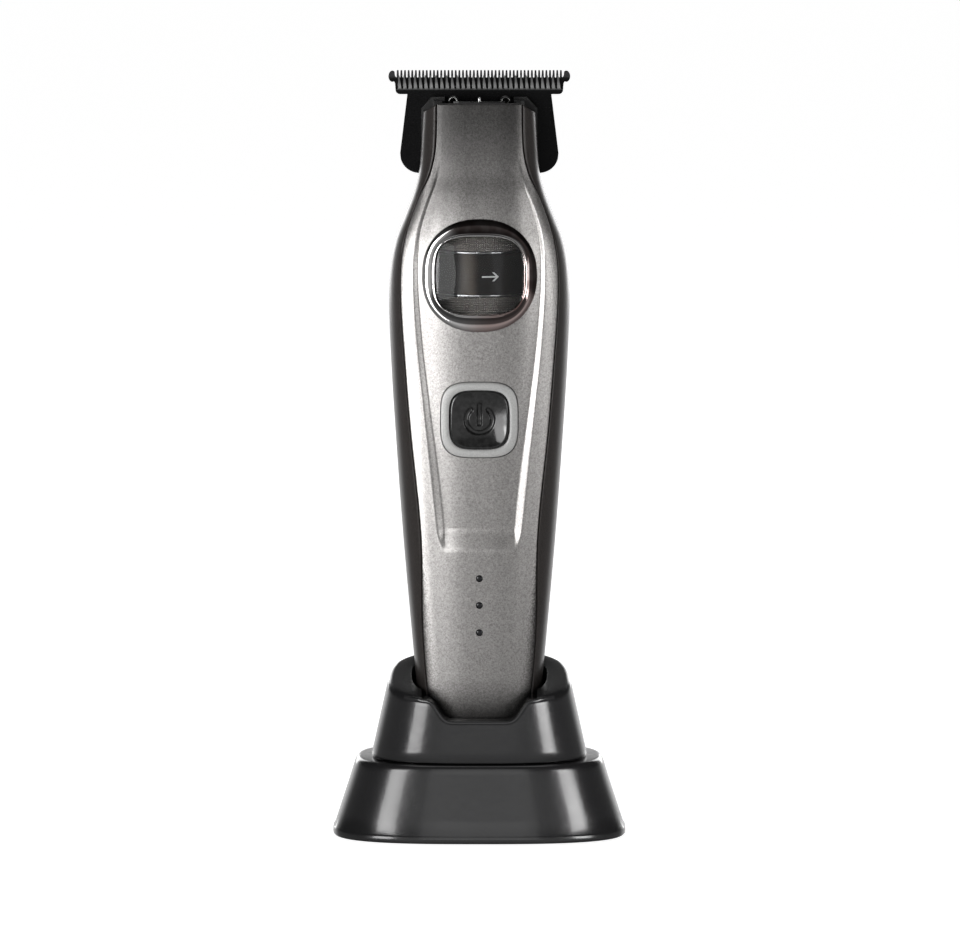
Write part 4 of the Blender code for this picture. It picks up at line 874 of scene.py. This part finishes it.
def makeDockFinish():
    finish = Finish("dockGloss", {"Coat Weight": 0.35, "Coat Roughness": 0.1, "IOR": 1.5})
    peel, dust = finish.noise(0.55, 3.0), finish.noise(7.0, 3.0)
    smear = finish.noise(0.09, 5.0)
    black = finish.blend(finish.within(dust, 0.45, 0.75), (0.010, 0.010, 0.0105), (0.019, 0.019, 0.020))
    finish.drive("Base Color", black)
    finish.drive("Roughness", 0.22 + (smear - 0.5) * 0.22 + (dust - 0.5) * 0.06)
    return finish.bump(peel * 0.8 + dust * 0.08, 0.03)


def footprint(halfX, halfY, z):
    return [(halfX * a, halfY * b, z) for a, b in roundPoints(dockForm["count"], dockForm["exponent"])]


def clipperRing(z, clearance, height=None):  # the clipper's section let out by a clearance
    widest, ring = clipperForm["widestY"], []
    for angle in turnsOf(dockForm["count"]):
        isBack = math.sin(angle) >= 0
        power = 2 / (clipperForm["backExponent"] if isBack else 2.8)
        depth = bodyAt(3, z) - widest if isBack else bodyAt(2, z) + widest
        ring.append(((bodyAt(1, z) + clearance) * signedPower(math.cos(angle), power),
                     widest + (depth + clearance) * signedPower(math.sin(angle), power),
                     z if height is None else height))
    return ring


def cradleHalf(z):
    foot, top = dockForm["footHalf"], dockForm["topHalf"]
    share = (z - dockForm["cradleFoot"]) / (dockForm["topZ"] - dockForm["cradleFoot"])
    return [a + (b - a) * share for a, b in zip(foot, top)]


def tiltedRing(inset, drop):  # an outline of the taper where the sloped top cuts it
    ring, top = [], dockForm["topZ"]
    for a, b in roundPoints(dockForm["count"], dockForm["exponent"]):
        z = top
        for _ in range(6):  # each pass brings the height closer to the slope
            halfX, halfY = [half - inset for half in cradleHalf(z)]
            z = top + halfY * b * dockForm["slope"] - drop
        ring.append((halfX * a, halfY * b, z))
    return ring


def mouthRing(clearance, drop):
    return [(x, y, dockForm["topZ"] + y * dockForm["slope"] - drop)
            for x, y, _ in clipperRing(dockForm["topZ"], clearance)]


def stadium(halfX, halfZ, steps=16):
    run = halfX - halfZ
    return arc((run, 0), halfZ, -90, 90, steps) + arc((-run, 0), halfZ, 90, 270, steps)


def makeDockBase():
    ledge = dockForm["ledge"]
    outer = [  # half width, half depth, height
        (31.8, 17.8, 0.5), (32.25, 18.25, 0.58), (32.45, 18.45, 0.8), (32.5, 18.5, 1.1), (32.45, 18.46, 1.95),
        (32.3, 18.36, 2.2), (32.12, 18.28, 2.4), (31.0, 17.98, 5.8), (29.9, 17.68, 9.2), (28.8, 17.39, 12.6),
        (27.85, 17.14, 15.7), (27.62, 17.08, 16.4), (27.42, 17.0, 16.85), (27.15, 16.86, 17.25),
        (26.8, 16.66, 17.58), (26.4, 16.4, 17.75), (26.0, 16.1, ledge)]
    rings = [footprint(*station) for station in outer]
    rings += [clipperRing(20.0, 3.4, z) for z in (ledge, ledge - 2.0)]
    hollow = (25.6, 15.0, ledge - 2.0), (30.3, 16.4, 2.4), (30.3, 16.4, 0.5)
    rings += [footprint(*station) for station in hollow]
    base = loft("dockLowerTier", rings, False, 30)
    mouth = [(x, z + 6.4) for x, z in stadium(4.85, 2.0)]
    places = [(side * dockForm["screwX"], 0.0) for side in (-1, 1)]
    bosses = [turned("bossTool", [(2.5, 2.8), (2.5, 16.8)], centre=place, count=32) for place in places]
    bores = [turned("boreTool", [(1.15, 0.0), (1.15, 11.0)], centre=place, count=24) for place in places]
    carve(base, *bosses, join=True)
    return carve(base, extruded("inletTool", mouth, 12.0, 25.0), *bores)


def rimZ(x):  # where the cradle's front face turns over into its sloped top
    return dockForm["topZ"] + cradleFaceY(x, dockForm["topZ"] - 3.5) * dockForm["slope"]


def notchOutline(grow=0.0, reach=0.0):  # from the left mouth round to the right, let out by grow
    floor, mouth = notchForm["floorHalf"], notchForm["mouthHalf"] - 0.55
    low, high = notchForm["floorZ"], rimZ(notchForm["mouthHalf"]) - 0.1
    corner = [(-mouth - 2.2, high + 0.1), (-mouth, high), (-floor, low), (floor, low), (mouth, high),
              (mouth + 2.2, high + 0.1)]
    path = []
    for i, point in enumerate(corner):
        if i in (0, len(corner) - 1):
            path.append(point)
            continue
        before, after = [Vector(corner[k]) - Vector(point) for k in (i - 1, i + 1)]
        cut = min(notchForm["corner"], before.length * 0.6, after.length * 0.45)
        start, end = Vector(point) + before.normalized() * cut, Vector(point) + after.normalized() * cut
        for t in between(0.0, 1.0, 8):
            path.append(tuple(start * (1 - t) ** 2 + Vector(point) * 2 * t * (1 - t) + end * t ** 2))
    if reach:
        left = [(-x, rimZ(x) + 0.02) for x in between(reach, mouth + 2.7, 10)]
        path = left + path + [(-x, z) for x, z in reversed(left)]
    return pushIn(path, [-grow] * len(path))


def cradleFaceY(x, z):  # front of the cradle at a point
    halfX, halfY = cradleHalf(z)
    share = min(abs(x) / halfX, 0.999) ** dockForm["exponent"]
    return -halfY * (1 - share) ** (1 / dockForm["exponent"])


def makeCradle():
    form = dockForm
    foot, gap, bottom = form["cradleFoot"], form["clearance"], form["socketBottom"]
    rings = [footprint(halfX, halfY, foot + lift)
             for halfX, halfY, lift in ((23.3, 15.6, 0.0), (23.75, 15.98, 0.12), (23.85, 16.07, 0.4))]
    rings += [footprint(*cradleHalf(z), z) for z in (20.5, 23.5, 26.5)]
    rings += [tiltedRing(inset, drop) for inset, drop in ((0.0, 1.6), (0.0, 1.1), (0.09, 0.72), (0.3, 0.36),
                                                         (0.65, 0.1), (1.1, 0.0))]
    rings += [mouthRing(gap + more, drop) for more, drop in ((0.5, 0.0), (0.17, 0.13), (0.0, 0.5))]
    rings += [clipperRing(z, gap + more)
              for z, more in ((26.0, 0.0), (bottom, 0.0), (bottom, form["sleeve"]), (foot, form["sleeve"]))]
    cradle = loft("dockUpperTier", rings, False, 30)
    path = notchOutline()
    outline = [(path[0][0], 42.0)] + path + [(path[-1][0], 42.0)]
    return carve(cradle, extruded("notchTool", outline, -22.0, -5.0))


def makeNotchLip():  # raised edge round the notch that runs out along the rim
    reach = notchForm["lipReach"]
    inner, outer = notchOutline(0.02, reach), notchOutline(notchForm["lip"], reach)
    sections = []
    for a, b in zip(inner, outer):
        ease = softStep(0.0, 4.0, reach - abs(a[0])) * 0.92 + 0.08
        section = []
        for share, lift in ((0.0, -0.9), (0.0, 0.06), (0.12, 0.2), (0.35, 0.27), (0.65, 0.27), (0.88, 0.2),
                            (1.0, 0.06), (1.0, -0.2)):
            x, z = a[0] + (b[0] - a[0]) * share, a[1] + (b[1] - a[1]) * share
            section.append((x, cradleFaceY(x, z) - lift * ease - 0.02, z))
        sections.append(section)
    return loft("notchEdge", sections, True, 40)


dockGloss = makeDockFinish()
fit(makeDockBase(), dockGloss, "dock", ["dock_base"])
fit(makeCradle(), dockGloss, "dock", ["dock_cradle"])
fit(makeNotchLip(), dockGloss, "dock", ())
print("dock made")

# nodes that keep their CAD shape
plainWords = ("dark", "light", "rough", "roughSpread", "grain", "depth", "metal", "stretch")
plainSettings = {
    "capBlack": ((0.010, 0.010, 0.010), (0.028, 0.028, 0.028), 0.38, 0.12, 5.0, 0.03),
    "boardGreen": ((0.012, 0.075, 0.028), (0.02, 0.13, 0.05), 0.32, 0.15, 1.1, 0.03),
    "switchBlack": ((0.012, 0.012, 0.012), (0.03, 0.03, 0.03), 0.4, 0.1, 4.0, 0.01),
    "cradleGrey": ((0.11, 0.11, 0.115), (0.19, 0.19, 0.195), 0.5, 0.15, 3.5, 0.03),
    "canSteel": ((0.28, 0.275, 0.27), (0.47, 0.46, 0.45), 0.3, 0.15, 1.5, 0.02, 1.0, (1.0, 1.0, 6.0)),
    "magnetGrey": ((0.12, 0.12, 0.125), (0.24, 0.24, 0.25), 0.48, 0.12, 4.0, 0.03, 0.6),
    "yokeWhite": ((0.60, 0.60, 0.57), (0.76, 0.76, 0.73), 0.45, 0.1, 2.5, 0.02),
    "contactGold": ((0.62, 0.42, 0.13), (0.86, 0.64, 0.26), 0.22, 0.12, 2.5, 0.01, 1.0),
    "barrelBrass": ((0.50, 0.36, 0.15), (0.72, 0.55, 0.28), 0.34, 0.12, 2.0, 0.015, 1.0),
    "floorBlack": ((0.012, 0.012, 0.013), (0.032, 0.032, 0.034), 0.55, 0.12, 6.0, 0.05),
    "padRubber": ((0.014, 0.014, 0.014), (0.04, 0.04, 0.04), 0.82, 0.12, 8.0, 0.08),
}
finishes = {name: mouldedFinish(name, dict(zip(plainWords, values)))
            for name, values in plainSettings.items()}


def makeSleeveFinish():  # blue heat-shrunk sleeve with a lighter stripe
    finish = Finish("cellSleeve", {"Coat Weight": 0.4, "Coat Roughness": 0.15})
    wrinkle = finish.noise(0.5, 3.0, (1.0, 1.0, 3.0))
    stripe = finish.within(finish.z, 52.0, 52.3) * (1 - finish.within(finish.z, 56.0, 56.3))
    blue = finish.blend(wrinkle, (0.03, 0.10, 0.30), (0.05, 0.17, 0.46))
    finish.drive("Base Color", finish.blend(stripe, blue, (0.55, 0.57, 0.6)))
    finish.drive("Roughness", 0.3 + (wrinkle - 0.5) * 0.15)
    return finish.bump(wrinkle, 0.05)


def makeWindingFinish():  # copper wire wound round the stator
    finish = Finish("statorCopper", {"Metallic": 1.0})
    turnsOfWire = finish.maths("SINE", finish.z * 22.0) * 0.5 + 0.5
    grain = finish.noise(2.0, 3.0)
    # painted shade: the copper colour darkens in the grooves between the turns
    finish.drive("Base Color", finish.blend(turnsOfWire, (0.42, 0.17, 0.08), (0.80, 0.42, 0.22)))
    finish.drive("Roughness", 0.34 + (grain - 0.5) * 0.15)
    return finish.bump(turnsOfWire, 0.08)


finishes.update({"cellSleeve": makeSleeveFinish(), "statorCopper": makeWindingFinish(),
                 "insertBlack": insertBlack, "wireSteel": wireSteel})
keptNodes = {
    "capBlack": ("bottom_cap", "contact_block"), "insertBlack": ("neck_insert",),
    "boardGreen": ("main_pcb", "charge_board", "dock_pcb"), "switchBlack": ("tact_switch",),
    "cradleGrey": ("battery_cradle", "motor_mount"), "canSteel": ("motor_can",),
    "magnetGrey": ("motor_rotor",),
    "yokeWhite": ("cutter_yoke",), "cellSleeve": ("battery_cell",), "statorCopper": ("motor_stator",),
    "contactGold": ("contact_pin_left", "contact_pin_right", "charge_plate_left", "charge_plate_right"),
    "barrelBrass": ("contact_barrel_left", "contact_barrel_right", "motor_bearing"),
    "floorBlack": ("dock_floor_plate",), "padRubber": ("dock_foot_pad",),
    "wireSteel": ("motor_shaft", "eccentric_cam", "contact_spring_left", "contact_spring_right",
                  "charging_port", "dock_inlet", "dock_screw_left", "dock_screw_right"),
}
softEdges = {"bottom_cap": 0.25, "neck_insert": 0.18, "cutter_yoke": 0.15, "dock_floor_plate": 0.2,
             "dock_foot_pad": 0.15, "contact_block": 0.15, "dock_inlet": 0.06, "charging_port": 0.06}
weldGap = 0.002
for finishName, nodes in keptNodes.items():
    for node in nodes:
        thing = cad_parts[node]
        for materialSlot in thing.material_slots:
            materialSlot.material = finishes[finishName].material
        if node in softEdges:
            weld = thing.modifiers.new("weldSeams", "WELD")
            weld.merge_threshold = weldGap * mm
            roundEdges(thing, softEdges[node])
print("kept nodes finished")

# studio
studioSettings = {
    "floorSize": 9.0, "floorColour": (0.5, 0.5, 0.5), "floorGlow": 0.95,
    "target": (0.15, 0.0, 80.7), "distance": 1500.0, "elevation": 6.5, "lens": 254.2,
    "lamps": {  # azimuth, distance, low, high, width in metres, radiance, pieces it lights
        "keyLeft": (-38.0, 0.95, 0.01, 0.38, 0.30, 9.0, "all"),
        "keyRight": (43.0, 0.95, 0.01, 0.36, 0.24, 4.4, "notBezel"),
        "dockRight": (45.0, 0.95, 0.01, 0.36, 0.34, 6.5, "dock"),
        "dockFront": (0.0, 1.7, 0.01, 1.0, 0.8, 0.88, "dock"),
        "fillLeft": (-24.0, 1.3, 0.01, 0.34, 0.50, 3.9, "notDock"),
        "sideLeft": (-76.0, 1.1, 0.01, 0.34, 0.70, 8.0, "silver"),
        "sideRight": (74.0, 1.1, 0.01, 0.34, 0.50, 2.8, "silver"),
        "rearLeft": (-162.0, 1.2, 0.02, 0.6, 0.35, 2.5, "all"),
        "rearRight": (162.0, 1.2, 0.02, 0.6, 0.35, 2.5, "all"),
        "topSoft": (0.0, 0.0, 1.2, 1.2, 0.7, 1.0, "notBezel"),
    },
    "silver": ("frontCoverShell", "buttonSurround"), "dock": ("dockLowerTier", "dockUpperTier", "notchEdge"),
}


def aim(thing, place, target):
    thing.location = place
    thing.rotation_euler = (Vector(target) - Vector(place)).to_track_quat("-Z", "Y").to_euler()


def makeLamp(name, settings):
    azimuth, distance, low, high, width, radiance, group = settings
    lamp = bpy.data.lights.new(name, "AREA")
    lamp.shape, lamp.size, lamp.size_y = "RECTANGLE", width, max(high - low, width)
    lamp.energy = radiance * math.pi * lamp.size * lamp.size_y
    thing = bpy.data.objects.new(name, lamp)
    bpy.context.scene.collection.objects.link(thing)
    turn = math.radians(azimuth)
    place = Vector((distance * math.sin(turn), -distance * math.cos(turn), (low + high) / 2))
    aim(thing, place, (0.0, 0.0, place.z if distance else 0.0))
    thing.visible_camera = False
    if group != "all":
        thing.light_linking.receiver_collection = litGroups[group]


def makeFloor():
    size = studioSettings["floorSize"]
    corners = [(-size, -size, 0), (size, -size, 0), (size, size, 0), (-size, size, 0)]
    mesh = bpy.data.meshes.new("studioFloor")
    mesh.from_pydata(corners, [], [(0, 1, 2, 3)])
    floor = bpy.data.objects.new("studioFloor", mesh)
    bpy.context.scene.collection.objects.link(floor)
    finish = Finish("studioPaper", {"Base Color": studioSettings["floorColour"], "Roughness": 0.9,
                                    "Emission Color": (1.0, 1.0, 1.0),
                                    "Emission Strength": studioSettings["floorGlow"]})
    mesh.materials.append(finish.material)
    floor.visible_glossy = floor.visible_transmission = False  # gloss shows the dim lower sky instead


def makeWorld():
    world = bpy.data.worlds.new("studioSky")
    bpy.context.scene.world = world
    world.use_nodes = True
    bench = NodeBench(world.node_tree)
    background = world.node_tree.nodes["Background"]
    direction = bench.node("TexCoord", output="Generated")
    ahead, up = [bench.node("SeparateXYZ", {}, {0: direction}, i) for i in (1, 2)]
    sky = 0.2 + bench.within(ahead, 0.6, 0.95) * 0.75 + bench.within(0 - ahead, 0.55, 0.95) * 0.2
    sky = sky * (1 - bench.within(up, 0.04, 0.3) * 0.8) * (1 - bench.within(0 - up, 0.15, 0.5) * 0.3)
    seen = bench.node("LightPath", output="Is Camera Ray")
    bench.feed(background.inputs["Color"], bench.blend(seen, sky, (1.0, 1.0, 1.0)))


def makeCamera():
    settings = studioSettings
    camera = bpy.data.cameras.new("studioCamera")
    camera.lens, camera.sensor_width, camera.clip_end = settings["lens"], 36.0, 40.0
    thing = bpy.data.objects.new("studioCamera", camera)
    bpy.context.scene.collection.objects.link(thing)
    target, rise = Vector(settings["target"]) * mm, math.radians(settings["elevation"])
    back = settings["distance"] * mm
    aim(thing, target + Vector((0.0, -back * math.cos(rise), back * math.sin(rise))), target)
    bpy.context.scene.camera = thing


makeFloor()
makeWorld()
makeCamera()
everything = [thing.name for thing in bpy.data.objects if thing.type in ("MESH", "CURVE")]
groupNames = {
    "silver": studioSettings["silver"], "dock": studioSettings["dock"],
    "notBezel": [name for name in everything if name != "windowBezelRing"],
    "notDock": [name for name in everything if name not in studioSettings["dock"]],
}
litGroups = {}
for groupName, members in groupNames.items():
    litGroups[groupName] = bpy.data.collections.new(groupName + "Pieces")
    for member in members:
        litGroups[groupName].objects.link(bpy.data.objects[member])
for lampName, lampSettings in studioSettings["lamps"].items():
    makeLamp(lampName, lampSettings)
bpy.context.scene.view_settings.view_transform = "Standard"
print("studio made")
